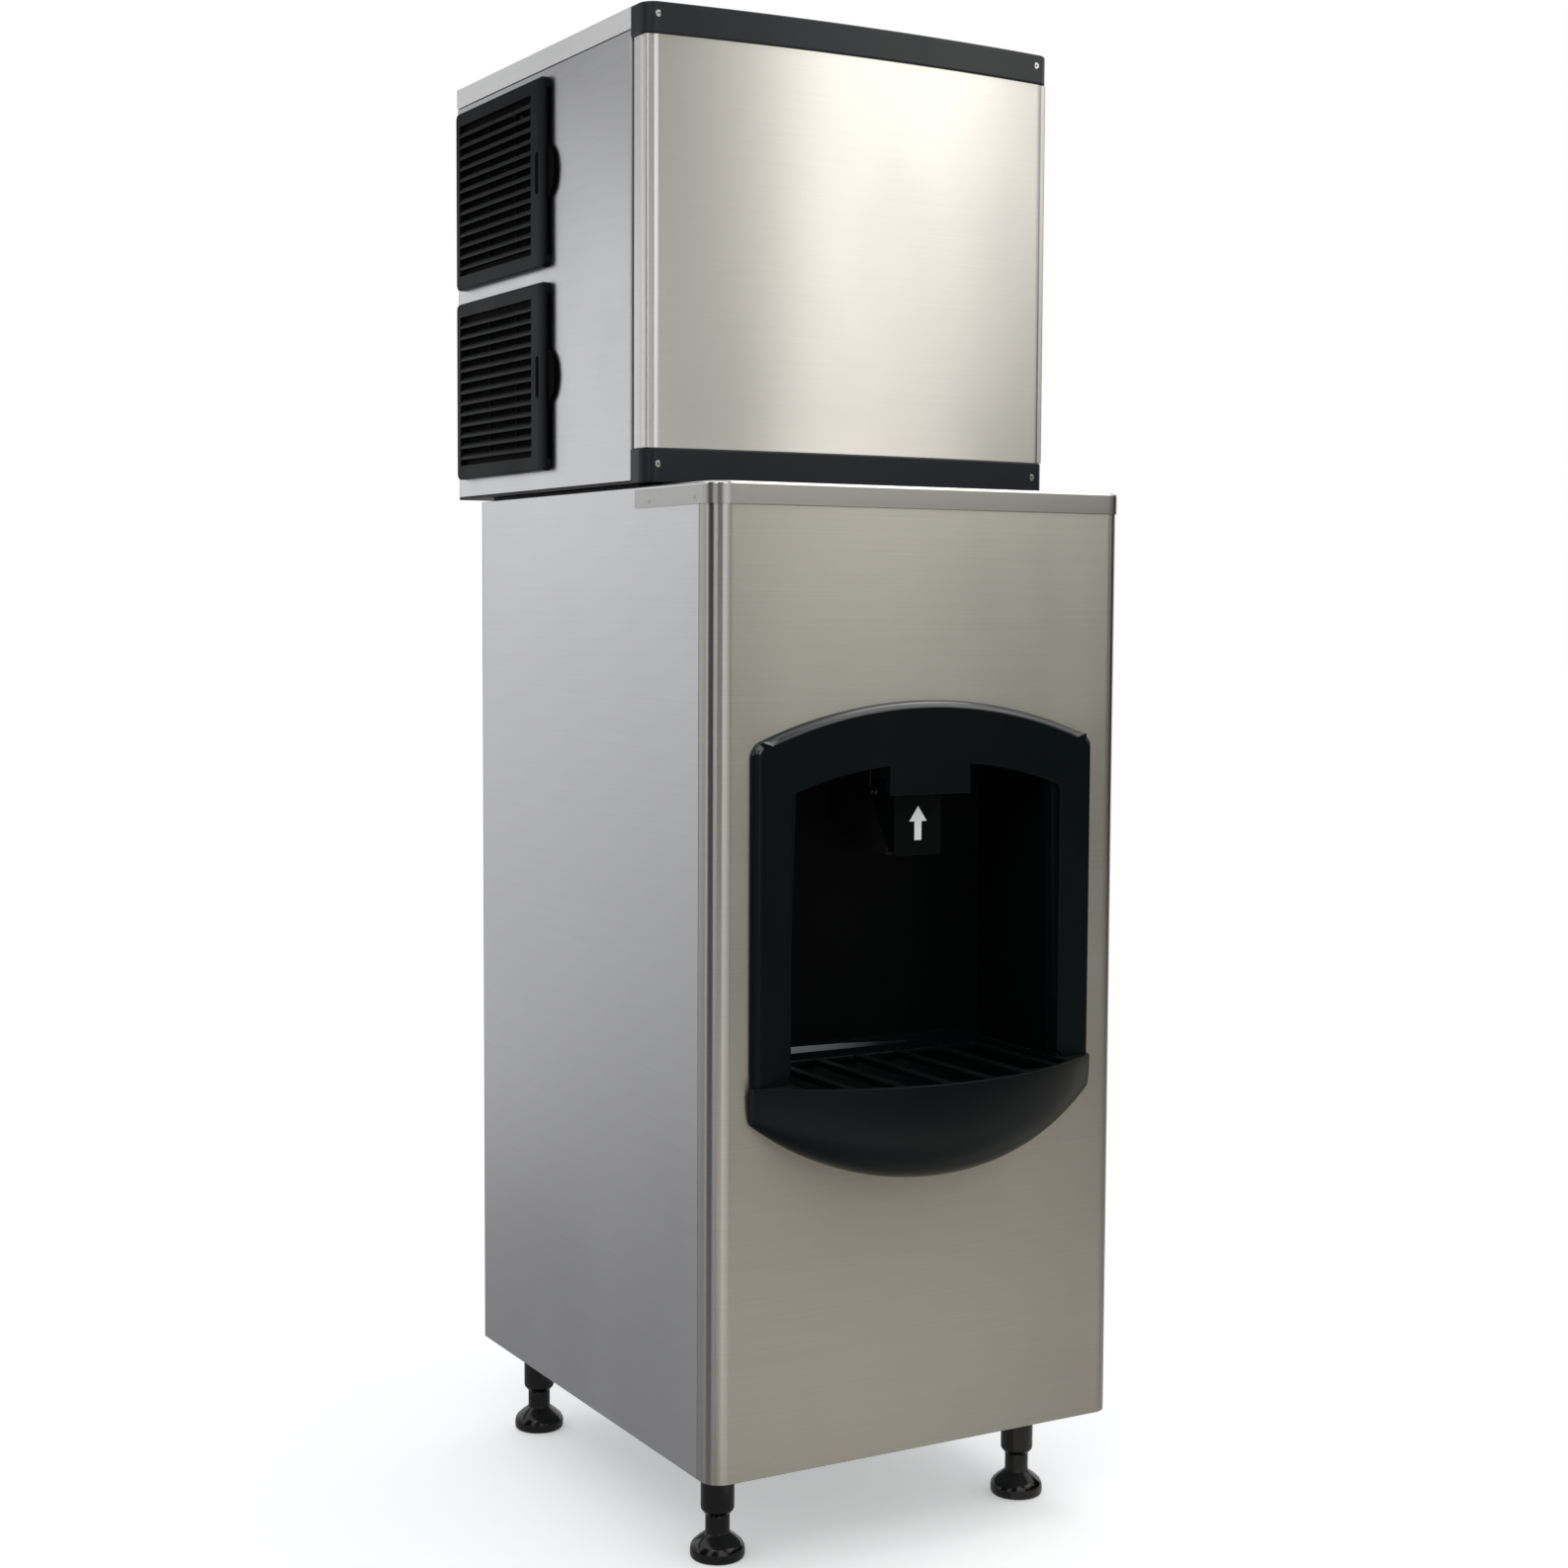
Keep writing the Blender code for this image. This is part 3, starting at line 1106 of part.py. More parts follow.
def build_drive():
    origin = tuple(AXLE)
    start = AXLE.y - SHAFT_IN_BOX
    end = FRONT + BIN_BACK - BIN_WALL / 2 - GAP
    shaft = rod(SHAFT_RADIUS, (0, 0, AXLE_HEIGHT), "Y", start, end)
    add_object("drive_shaft", shaft, STAINLESS, origin, smooth=True)
    wheel_front = AXLE.y + BIN_WALL + WHEEL_SET_BACK
    outline = star((AXLE.x, AXLE.z), PADDLES, HUB_RADIUS, WHEEL_RADIUS, PADDLE_THICKNESS, PADDLE_SWEEP)
    wheel = add_object("dispense_wheel", prism(outline, "Y", wheel_front, wheel_front + WHEEL_WIDTH),
                       WHITE_PLASTIC, origin)
    cut(wheel, shaft_bore(), "bore")
    tube_start = wheel_front + WHEEL_WIDTH + GAP
    tube_end = FRONT + BIN_BACK - BIN_WALL - AGITATOR_END_GAP
    tube = rod(AGITATOR_TUBE, (0, 0, AXLE_HEIGHT), "Y", tube_start, tube_end)
    agitator = add_object("agitator", tube, STAINLESS, origin)
    pitch = (tube_end - tube_start) / AGITATOR_BARS
    for number in range(AGITATOR_BARS):
        middle = tube_start + pitch / 2 + pitch * number
        bars = star((AXLE.x, AXLE.z), 2, AGITATOR_TUBE / 2, AGITATOR_REACH, AGITATOR_ROD,
                    turn=AGITATOR_TURN * number)
        join(agitator, prism(bars, "Y", middle - AGITATOR_ROD / 2, middle + AGITATOR_ROD / 2), f"bar_{number}")
    cut(agitator, shaft_bore(), "bore")


def build_gear_motor():
    face = AXLE.y - GAP
    outline = fillet(
        rectangle(-GEARBOX_HALF, GEARBOX_HALF, AXLE_HEIGHT - GEARBOX_LOW, AXLE_HEIGHT + GEARBOX_HALF),
        [GEARBOX_CORNER] * 4, steps=3)
    box = prism(outline, "Y", face - GEARBOX_DEPTH, face)
    motor = add_object("gear_motor", box, GREY_PLASTIC)
    low = AXLE_HEIGHT - GEARBOX_LOW
    can = rod(MOTOR_RADIUS, (0, face - GEARBOX_DEPTH / 2, low), "Z", -MOTOR_LENGTH, OVERRUN)
    join(motor, can, "motor_can")
    cut(motor, rod(SHAFT_RADIUS + GAP, AXLE, "Y", -SHAFT_IN_BOX - GAP, OVERRUN), "shaft_socket")


# Services

def build_control_box():
    outline = fillet(rectangle(-BOX_LEFT, -BOX_RIGHT, FRONT + BOX_FRONT, FRONT + BOX_BACK), [BOX_CORNER] * 4, steps=2)
    low = LINER_TOP + LINER_WALL + GAP
    add_object("dispenser_control_box", prism(outline, "Z", low, low + BOX_HEIGHT), GALVANISED)


def build_drain_pipe():
    """A rigid pipe from the basin's spigot down and out through the back."""
    start = Vector((0, FRONT + SPIGOT_PLACE, LINER_LOW - SPIGOT_DEPTH - GAP))
    end = Vector((0, REAR + PIPE_OUT, PIPE_LOW))
    points = [start]
    bend = arc((start.y + PIPE_BEND, PIPE_LOW + PIPE_BEND), PIPE_BEND, FULL_TURN / 2, 3 * QUARTER_TURN,
               PIPE_BEND_STEPS)
    points += [Vector((0, y, z)) for y, z in bend] + [end]
    curve = bpy.data.curves.new("drain_pipe", "CURVE")
    curve.dimensions = "3D"
    curve.bevel_depth = PIPE_RADIUS
    curve.bevel_resolution = 4
    curve.use_fill_caps = True
    spline = curve.splines.new("POLY")
    spline.points.add(len(points) - 1)
    for point, position in zip(spline.points, points):
        point.co = (*position, 1)
    pipe = bpy.data.objects.new("drain_pipe", curve)
    bpy.context.scene.collection.objects.link(pipe)
    curve.materials.append(make_material("drain_pipe", WHITE_PLASTIC))


def build_power_gland():
    """A cable gland in the back panel. Its nut sits outside, its thread passes the panel."""
    profile = [
        (GLAND_BORE, -SHEET - GLAND_INSIDE), (GLAND_THREAD, -SHEET - GLAND_INSIDE), (GLAND_THREAD, GAP),
        (GLAND_RADIUS, GAP), (GLAND_RADIUS, GLAND_LENGTH / 2), (GLAND_TIP_RADIUS, GLAND_LENGTH),
        (GLAND_BORE, GLAND_LENGTH),
    ]
    place_of_gland = (GLAND_PLACE, REAR, GLAND_HEIGHT)
    add_object("power_gland", turned(profile, place_of_gland, "Y", SMALL_STEPS, ring=True), BLACK_MATT, place_of_gland)


# Ice-making head shell

def head_front(offset, wrap_end):
    """The bowed front in plan with its wrapped corners, moved outward by an offset."""
    side = HALF + offset
    path = [(-side, wrap_end)]
    for step in range(BOW_STEPS + 1):
        share = 2 * step / BOW_STEPS - 1
        path.append((side * share, HEAD_FRONT - offset - FRONT_BOW * (1 - share ** 2)))
    path.append((side, wrap_end))
    corner = HEAD_CORNER + offset
    radii = [0, corner] + [0] * (BOW_STEPS - 1) + [corner, 0]
    return fillet(path, radii, closed=False, steps=HEAD_CORNER_STEPS)


def build_head_front():
    low = HEAD_LOW + BOTTOM_TRIM_HEIGHT + GAP
    high = HEAD_TOP - TOP_TRIM_HEIGHT - GAP
    path = head_front(0, HEAD_SEAM)
    add_object("head_front_panel", prism(thicken(path, SHEET), "Z", low, high), STAINLESS, smooth=True)
    band = thicken(head_front(TRIM_PROUD, HEAD_SEAM), TRIM_DEPTH)
    add_object("head_bottom_trim", prism(band, "Z", HEAD_LOW, HEAD_LOW + BOTTOM_TRIM_HEIGHT), TRIM_BLACK)
    add_object("head_top_trim", prism(band, "Z", HEAD_TOP - TOP_TRIM_HEIGHT, HEAD_TOP), TRIM_BLACK)


def behind_trim(back):
    """The plan of a sheet that fills the bow behind a trim."""
    return head_front(TRIM_PROUD - TRIM_DEPTH - GAP, back + OVERRUN)


def build_head_base():
    """The head's floor, with the opening that the ice falls through."""
    front = HEAD_SEAM + SEAM
    half = HALF - BASE_INSET
    base = add_object("head_base", block(-half, half, front, HEAD_REAR - SHEET - GAP, HEAD_LOW, HEAD_FLOOR - GAP),
                      BLACK_MATT)
    join(base, prism(behind_trim(front), "Z", HEAD_LOW, HEAD_FLOOR - GAP), "nose")
    drop = block(-DROP_HALF, DROP_HALF, FRONT + DROP_FRONT, FRONT + DROP_BACK, HEAD_LOW - OVERRUN,
                 HEAD_FLOOR + OVERRUN)
    cut(base, drop, "ice_drop")


def build_head_sides():
    start = HEAD_SEAM + HEAD_JOINT
    end = HEAD_REAR - SHEET - GAP
    top = HEAD_TOP - TOP_FLANGE - PANEL_DROP
    path = [(HALF - SIDE_RETURN, start), (HALF, start), (HALF, end), (HALF - SIDE_RETURN, end)]
    outline = thicken(path, SHEET)
    add_object("head_right_panel", prism(outline, "Z", HEAD_FLOOR, top), STAINLESS)
    mirrored = [(-x, y) for x, y in outline]
    left = add_object("head_left_panel", prism(mirrored, "Z", HEAD_FLOOR, top), STAINLESS)
    windows = []
    for height in (UPPER_GRILLE_HEIGHT, LOWER_GRILLE_HEIGHT):
        half = LOUVRE_SPAN / 2 - WINDOW_MARGIN
        windows.append(block(-HALF - OVERRUN, -HALF + SHEET + OVERRUN, FRONT + LOUVRE_FRONT + WINDOW_MARGIN,
                             FRONT + LOUVRE_BACK - WINDOW_MARGIN, height - half, height + half))
    cut(left, gather(windows), "windows")


def build_head_back():
    top = HEAD_TOP - SHEET - GAP
    panel = add_object("head_back_panel", block(-HALF, HALF, HEAD_REAR - SHEET, HEAD_REAR, HEAD_LOW, top - TOP_FLANGE),
                       GALVANISED)
    slots = []
    for row in range(VENT_ROWS):
        middle = VENT_CENTRE_Z + VENT_PITCH * (row - (VENT_ROWS - 1) / 2)
        outline = fillet(rectangle(VENT_CENTRE_X - VENT_HALF, VENT_CENTRE_X + VENT_HALF, middle - VENT_HEIGHT / 2,
                                   middle + VENT_HEIGHT / 2), [VENT_HEIGHT / 2 - MERGE] * 4, steps=1)
        slots.append(prism(outline, "Y", HEAD_REAR - SHEET - OVERRUN, HEAD_REAR + OVERRUN))
    slots.append(rod(INLET_RADIUS + GAP, (INLET_X, HEAD_REAR, INLET_HEIGHT), "Y", -OVERRUN, OVERRUN, SMALL_STEPS))
    cut(panel, gather(slots), "vents")


def build_head_top():
    """The top cover: a lid whose side and back flanges lie over the panels."""
    front = HEAD_SEAM + SEAM
    lid = block(-HALF, HALF, front - TOP_FLANGE, HEAD_REAR, HEAD_TOP - TOP_FLANGE, HEAD_TOP - TOP_DROP)
    cover = add_object("head_top_cover", hollow(lid, Vector((0, 0, -1)), SHEET, TOP_FLANGE - SHEET), STAINLESS)
    cut(cover, block(-HALF * 2, HALF * 2, front - TOP_FLANGE * 2, front, HEAD_TOP - TOP_FLANGE * 2,
                     HEAD_TOP + OVERRUN), "open_front")
    join(cover, prism(behind_trim(front), "Z", HEAD_TOP - SHEET, HEAD_TOP - TOP_DROP), "nose")


# Grilles and filters

def grille_outline(height):
    half = GRILLE_FRAME_HEIGHT / 2
    corners = rectangle(FRONT + GRILLE_FRAME_FRONT, FRONT + GRILLE_FRAME_BACK, height - half, height + half)
    return fillet(corners, [GRILLE_CORNER] * 4)


def build_grille(name, height):
    """A louvred cover that stands proud of the side, open at the front edge for the filter."""
    face = -HALF - GRILLE_PROUD
    plate = prism(grille_outline(height), "X", face, -HALF - GAP)
    rim = [edge for edge in plate.edges if all(abs(vert.co.x - face) < MERGE for vert in edge.verts)]
    bmesh.ops.bevel(plate, geom=rim, offset=GRILLE_BEVEL, segments=1, profile=0.5, affect="EDGES")
    grille = add_object(name, plate, BLACK_SATIN)
    room = FILTER_HALF_HEIGHT + GAP
    cut(grille, block(face + GRILLE_FACE, -HALF + OVERRUN, FRONT + GRILLE_FRAME_FRONT - OVERRUN,
                      FRONT + FILTER_BACK + GAP, height - room, height + room), "filter_slot")
    pitch = LOUVRE_SPAN / LOUVRES
    slots = []
    for number in range(LOUVRES):
        low = height - LOUVRE_SPAN / 2 + pitch * number + LOUVRE_BAR / 2
        high = low + pitch - LOUVRE_BAR
        outer = face - OVERRUN
        inner = face + GRILLE_FACE + OVERRUN
        outline = [(outer, low - LOUVRE_SLANT / 2), (outer, high - LOUVRE_SLANT / 2),
                   (inner, high + LOUVRE_SLANT / 2), (inner, low + LOUVRE_SLANT / 2)]
        slots.append(prism(outline, "Y", FRONT + LOUVRE_FRONT, FRONT + LOUVRE_BACK))
    cut(grille, gather(slots), "louvres")
    edge = FRONT + GRILLE_FRAME_FRONT
    slope = [(face - OVERRUN, edge - OVERRUN), (face + GRILLE_SLOPE_DROP, edge - OVERRUN),
             (face + GRILLE_SLOPE_DROP, edge), (face, edge + GRILLE_SLOPE_LENGTH),
             (face - OVERRUN, edge + GRILLE_SLOPE_LENGTH)]
    cut(grille, prism(slope, "Z", height - GRILLE_FRAME_HEIGHT, height + GRILLE_FRAME_HEIGHT), "front_slope")
    groove = block(face - OVERRUN, face + GROOVE_DEPTH, FRONT + GROOVE_PLACE, FRONT + GROOVE_PLACE + GROOVE_WIDTH,
                   height - GROOVE_HALF, height + GROOVE_HALF)
    cut(grille, groove, "finger_groove")


def build_filter(name, height):
    """A filter frame with its finger tab, which slides out to the front behind the louvres."""
    outer = -HALF - GRILLE_PROUD + GRILLE_FACE + GAP
    inner = outer + FILTER_THICKNESS
    half = FILTER_HALF_HEIGHT
    front = FRONT + FILTER_FRONT
    back = FRONT + FILTER_BACK
    tab = arc((front, height), FINGER_HEIGHT, 3 * QUARTER_TURN, QUARTER_TURN, FINGER_STEPS)
    tab = [(front + (y - front) * FINGER_REACH / FINGER_HEIGHT, z) for y, z in tab]
    outline = [(back, height + half), (back, height - half), (front, height - half)] + tab
    outline.append((front, height + half))
    sheet = add_object(name, prism(outline, "X", outer, inner), BLACK_MATT, (outer, front, height))
    width = (back - front - 2 * FILTER_BORDER + FILTER_BAR) / FILTER_COLUMNS
    rise = (2 * (half - FILTER_BORDER) + FILTER_BAR) / FILTER_ROWS
    windows = []
    for column in range(FILTER_COLUMNS):
        for row in range(FILTER_ROWS):
            y = front + FILTER_BORDER + width * column
            z = height - half + FILTER_BORDER + rise * row
            windows.append(block(outer - OVERRUN, inner + OVERRUN, y, y + width - FILTER_BAR, z,
                                 z + rise - FILTER_BAR))
    cut(sheet, gather(windows), "windows")


# Inside the head

def build_condenser():
    left = -CONDENSER_SIDE
    right = left + CONDENSER_THICKNESS
    low = HEAD_FLOOR + GAP
    core = add_object("condenser", block(left, right, FRONT + CONDENSER_FRONT, FRONT + CONDENSER_BACK, low,
                                         low + CONDENSER_HEIGHT), ALUMINIUM)
    pitch = (CONDENSER_BACK - CONDENSER_FRONT) / CONDENSER_FINS
    grooves = []
    for number in range(1, CONDENSER_FINS):
        y = FRONT + CONDENSER_FRONT + pitch * number
        width = pitch * FIN_SHARE / 2
        grooves.append(block(left - OVERRUN, left + FIN_GROOVE, y - width, y + width, low - OVERRUN,
                             low + CONDENSER_HEIGHT + OVERRUN))
    cut(core, gather(grooves), "fin_gaps")


def shroud_face():
    return -CONDENSER_SIDE + CONDENSER_THICKNESS + GAP


def build_fan():
    start = shroud_face()
    end = start + SHROUD_DEPTH
    low = HEAD_FLOOR + GAP
    shell = block(start, end, FRONT + CONDENSER_FRONT, FRONT + CONDENSER_BACK, low, low + CONDENSER_HEIGHT)
    shroud = add_object("fan_shroud", hollow(shell, Vector((-1, 0, 0)), SHEET, SHROUD_DEPTH - SHEET), BLACK_MATT)
    centre = (0, FAN_CENTRE_Y, FAN_CENTRE_Z)
    cut(shroud, rod(SHROUD_HOLE, centre, "X", end - SHEET - OVERRUN, end + OVERRUN, FINE_STEPS), "fan_hole")
    fan_middle = end - SHEET / 2
    hub_start = fan_middle - FAN_WIDTH / 2
    hub_end = fan_middle + FAN_WIDTH / 2
    origin = (fan_middle, FAN_CENTRE_Y, FAN_CENTRE_Z)
    fan = add_object("fan_blade", rod(FAN_HUB, centre, "X", hub_start, hub_end), BLACK_MATT, origin)
    for number in range(FAN_BLADES):
        angle = FULL_TURN * number / FAN_BLADES
        blade = fan_blade(angle, origin)
        join(fan, blade, f"blade_{number}")
    cut(fan, rod(FAN_SHAFT_HOLE, centre, "X", hub_start + SHEET, hub_end + OVERRUN, SMALL_STEPS), "shaft_socket")
    motor_start = hub_end + FAN_MOTOR_GAP
    profile = [
        (0, hub_start + SHEET + GAP), (FAN_SHAFT, hub_start + SHEET + GAP), (FAN_SHAFT, motor_start),
        (FAN_MOTOR_RADIUS, motor_start), (FAN_MOTOR_RADIUS, motor_start + FAN_MOTOR_LENGTH),
        (0, motor_start + FAN_MOTOR_LENGTH),
    ]
    motor = add_object("fan_motor", turned(profile, centre, "X"), GREY_PLASTIC, smooth=True)
    arms = star((FAN_CENTRE_Y, FAN_CENTRE_Z), ARMS, ARM_WIDTH, ARM_REACH, ARM_WIDTH, turn=FULL_TURN / ARMS / 2)
    arm_start = motor_start + ARM_THICKNESS
    join(motor, prism(arms, "X", arm_start, arm_start + ARM_THICKNESS), "arms")
    for number in range(ARMS):
        foot = rod(ARM_THICKNESS, (0, 0, 0), "X", end + GAP, arm_start + ARM_THICKNESS / 2, SMALL_STEPS)
        angle = FULL_TURN / ARMS * number + FULL_TURN / ARMS / 2
        reach = ARM_REACH - ARM_THICKNESS * 2
        place_of_foot = (0, FAN_CENTRE_Y + reach * math.cos(angle), FAN_CENTRE_Z + reach * math.sin(angle))
        bmesh.ops.translate(foot, vec=place_of_foot, verts=foot.verts[:])
        join(motor, foot, f"foot_{number}")


def fan_blade(angle, origin):
    """A twisted blade lofted from the hub to the tip."""
    sections = []
    root = FAN_HUB * BLADE_ROOT_SHARE
    for station in range(BLADE_STATIONS + 1):
        share = station / BLADE_STATIONS
        radius = root + (FAN_RADIUS - root) * share
        half_chord = FAN_WIDTH * (1 + share) / 2
        twist = BLADE_ROOT_TWIST + (BLADE_TIP_TWIST - BLADE_ROOT_TWIST) * share
        section = []
        for along, across in ((-1, -1), (1, -1), (1, 1), (-1, 1)):
            run = half_chord * along
            thick = BLADE_THICKNESS / 2 * across
            x = run * math.sin(twist) + thick * math.cos(twist)
            sideways = run * math.cos(twist) - thick * math.sin(twist)
            section.append(Vector((x, sideways, math.sqrt(radius ** 2 - sideways ** 2))))
        sections.append(section)
    bm = loft(sections)
    bmesh.ops.rotate(bm, matrix=Matrix.Rotation(angle, 3, "X"), verts=bm.verts[:])
    bmesh.ops.translate(bm, vec=origin, verts=bm.verts[:])
    return bm


def build_compressor():
    low = HEAD_FLOOR + GAP
    y = FRONT + COMPRESSOR_PLACE
    plate = fillet(rectangle(COMPRESSOR_X - COMPRESSOR_FOOT, COMPRESSOR_X + COMPRESSOR_FOOT, y - COMPRESSOR_FOOT,
                             y + COMPRESSOR_FOOT), [COMPRESSOR_FOOT_HEIGHT] * 4, steps=2)
    body = add_object("compressor", prism(plate, "Z", low, low + COMPRESSOR_FOOT_HEIGHT), BLACK_GLOSS)
    dome = [(0, low + SHEET)]
    dome += [(COMPRESSOR_RADIUS, low + SHEET), (COMPRESSOR_RADIUS, low + COMPRESSOR_HEIGHT - COMPRESSOR_RADIUS / 2)]
    for step in range(1, DOME_STEPS):
        angle = QUARTER_TURN * step / DOME_STEPS
        dome.append((COMPRESSOR_RADIUS * math.cos(angle),
                     low + COMPRESSOR_HEIGHT - COMPRESSOR_RADIUS / 2 * (1 - math.sin(angle))))
    dome.append((0, low + COMPRESSOR_HEIGHT))
    join(body, turned(dome, (COMPRESSOR_X, y, 0)), "can")


def build_partition():
    y = FRONT + PARTITION_PLACE
    low = HEAD_FLOOR + GAP
    add_object("head_partition", block(-INSIDE, INSIDE, y, y + SHEET, low, low + PARTITION_HEIGHT), GALVANISED)


def build_evaporator():
    low = HEAD_FLOOR + GAP
    back = FRONT + PARTITION_PLACE - GAP
    frame = add_object("evaporator_frame", block(-FRAME_HALF, FRAME_HALF, FRONT + FRAME_FRONT, back, low, FRAME_TOP),
                       WHITE_PLASTIC)
    inner = FRAME_HALF - FRAME_SHEET
    cut(frame, block(-inner, inner, FRONT + FRAME_FRONT - OVERRUN, back + OVERRUN, low - OVERRUN,
                     EVAPORATOR_TOP + GAP), "inside")
    cut(frame, block(-inner, inner, FRONT + FRAME_FRONT - OVERRUN, FRONT + EVAPORATOR_FRONT, low - OVERRUN,
                     FRAME_TOP + OVERRUN), "open_front")
    pivot = (0, FRONT + CURTAIN_PLACE, CURTAIN_PIVOT_HEIGHT)
    cut(frame, rod(CURTAIN_ROD + GAP, pivot, "X", -FRAME_HALF - OVERRUN, FRAME_HALF + OVERRUN, SMALL_STEPS),
        "pin_holes")
    half = inner - GAP
    front = FRONT + EVAPORATOR_FRONT
    plate = add_object("evaporator", block(-half, half, front, front + EVAPORATOR_THICKNESS, EVAPORATOR_LOW,
                                           EVAPORATOR_TOP), STEEL)
    cells = []
    width = 2 * half / EVAPORATOR_COLUMNS
    rise = (EVAPORATOR_TOP - EVAPORATOR_LOW) / EVAPORATOR_ROWS
    for column in range(EVAPORATOR_COLUMNS):
        for row in range(EVAPORATOR_ROWS):
            x = -half + width / 2 + width * column
            z = EVAPORATOR_LOW + rise / 2 + rise * row
            cells.append(block(x - width * CELL_SHARE / 2, x + width * CELL_SHARE / 2, front - OVERRUN,
                               front + CELL_DEPTH, z - rise * CELL_SHARE / 2, z + rise * CELL_SHARE / 2))
    cut(plate, gather(cells), "cells")


def build_curtain():
    y = FRONT + CURTAIN_PLACE
    z = CURTAIN_PIVOT_HEIGHT
    curtain = add_object("water_curtain", rod(CURTAIN_ROD, (0, y, z), "X", -FRAME_HALF, FRAME_HALF, SMALL_STEPS),
                         WHITE_PLASTIC, (0, y, z))
    half = FRAME_HALF - FRAME_SHEET - GATE_SIDE_GAP
    join(curtain, block(-half, half, y - CURTAIN_THICKNESS / 2, y + CURTAIN_THICKNESS / 2, CURTAIN_LOW, z), "sheet")


def build_trough():
    half = FRAME_HALF - FRAME_SHEET - GAP
    shell = block(-half, half, FRONT + TROUGH_FRONT, FRONT + TROUGH_BACK, TROUGH_LOW, TROUGH_TOP)
    add_object("water_trough", hollow(shell, Vector((0, 0, 1)), TROUGH_WALL, TROUGH_TOP - TROUGH_LOW - TROUGH_WALL),
               WHITE_PLASTIC)


def build_pump():
    low = HEAD_FLOOR + GAP
    waist = PUMP_RADIUS * PUMP_WAIST_SHARE
    profile = [(0, low), (PUMP_RADIUS, low), (PUMP_RADIUS, low + PUMP_RADIUS), (waist, low + PUMP_RADIUS),
               (waist, low + PUMP_HEIGHT / 2), (PUMP_RADIUS, low + PUMP_HEIGHT / 2),
               (PUMP_RADIUS, low + PUMP_HEIGHT), (0, low + PUMP_HEIGHT)]
    centre = (PUMP_X, FRONT + PUMP_PLACE, 0)
    add_object("water_pump", turned(profile, centre), GREY_PLASTIC, smooth=True)


def build_head_controls():
    outer = INSIDE
    add_object("head_control_box", block(outer - CONTROL_DEPTH, outer, FRONT + CONTROL_FRONT, FRONT + CONTROL_BACK,
                                         CONTROL_LOW, CONTROL_TOP), GALVANISED)


def build_water_inlet():
    inner_end = -SHEET - GAP - INLET_NUT_LENGTH
    profile = [(INLET_BORE, inner_end), (INLET_NUT, inner_end), (INLET_NUT, -SHEET - GAP),
               (INLET_RADIUS, -SHEET - GAP), (INLET_RADIUS, -TOP_DROP), (INLET_BORE, -TOP_DROP)]
    centre = (INLET_X, HEAD_REAR, INLET_HEIGHT)
    add_object("water_inlet", turned(profile, centre, "Y", SMALL_STEPS, ring=True), BRASS, centre)


def main():
    clear_scene()
    build_legs()
    build_base_pan()
    build_side_panels()
    build_back_panel()
    build_front_panel()
    build_deck()
    build_ledge_cover()
    build_head_seal()
    build_bezel()
    build_liner()
    build_basin()
    build_drip_grille()
    build_chute()
    build_gate()
    build_lever()
    build_lever_pin()
    build_lever_spring()
    build_switch()
    build_bin()
    build_drive()
    build_gear_motor()
    build_control_box()
    build_drain_pipe()
    build_power_gland()
    build_head_front()
    build_head_base()
    build_head_sides()
    build_head_back()
    build_head_top()
    for place_name, height in (("upper", UPPER_GRILLE_HEIGHT), ("lower", LOWER_GRILLE_HEIGHT)):
        build_grille(f"{place_name}_air_grille", height)
        build_filter(f"{place_name}_air_filter", height)
    build_condenser()
    build_fan()
    build_compressor()
    build_partition()
    build_evaporator()
    build_curtain()
    build_trough()
    build_pump()
    build_head_controls()
    build_water_inlet()


main()
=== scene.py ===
"""Looks for the floor-standing ice dispenser and the ice-making head that stands on it."""
import json
import math

import bmesh
import bpy
from mathutils import Matrix, Vector


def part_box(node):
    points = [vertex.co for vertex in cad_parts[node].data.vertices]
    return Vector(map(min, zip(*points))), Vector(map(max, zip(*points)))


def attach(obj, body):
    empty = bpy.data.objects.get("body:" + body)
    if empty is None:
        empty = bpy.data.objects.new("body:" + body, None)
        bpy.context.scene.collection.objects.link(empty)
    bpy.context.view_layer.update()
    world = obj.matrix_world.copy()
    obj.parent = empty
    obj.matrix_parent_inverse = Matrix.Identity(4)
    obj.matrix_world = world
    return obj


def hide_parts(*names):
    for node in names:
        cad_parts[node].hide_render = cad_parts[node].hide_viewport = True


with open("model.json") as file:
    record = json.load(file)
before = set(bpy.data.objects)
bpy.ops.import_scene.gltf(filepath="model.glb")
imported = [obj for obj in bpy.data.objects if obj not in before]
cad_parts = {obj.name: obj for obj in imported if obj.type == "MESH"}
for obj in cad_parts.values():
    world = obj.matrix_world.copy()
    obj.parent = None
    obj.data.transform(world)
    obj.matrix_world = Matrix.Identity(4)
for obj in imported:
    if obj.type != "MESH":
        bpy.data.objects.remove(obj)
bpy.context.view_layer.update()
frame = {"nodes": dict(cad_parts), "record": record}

# Main places of the machine, in metres
HALF = 0.280
FRONT = -0.320
REAR = 0.330
CABINET_TOP = 1.252
HEAD_FRONT = -0.154
HEAD_REAR = 0.408
HEAD_LOW = 1.256
HEAD_TOP = 1.800
HEAD_SEAM = -0.120
HEAD_CORNER = 0.016
TOP_TRIM = 0.036
LOW_TRIM = 0.040
BOW = 0.017
TRIM_PROUD = 0.002
TRIM_DEPTH = 0.009
TRIM_EDGE = 0.0024
HEAD_JOINT = 0.0045
SHEET = 0.0012
GAP = 0.0003

# How near a point has to be to count as lying in a plane
HAIR = 0.00001
NEAR = 0.0001

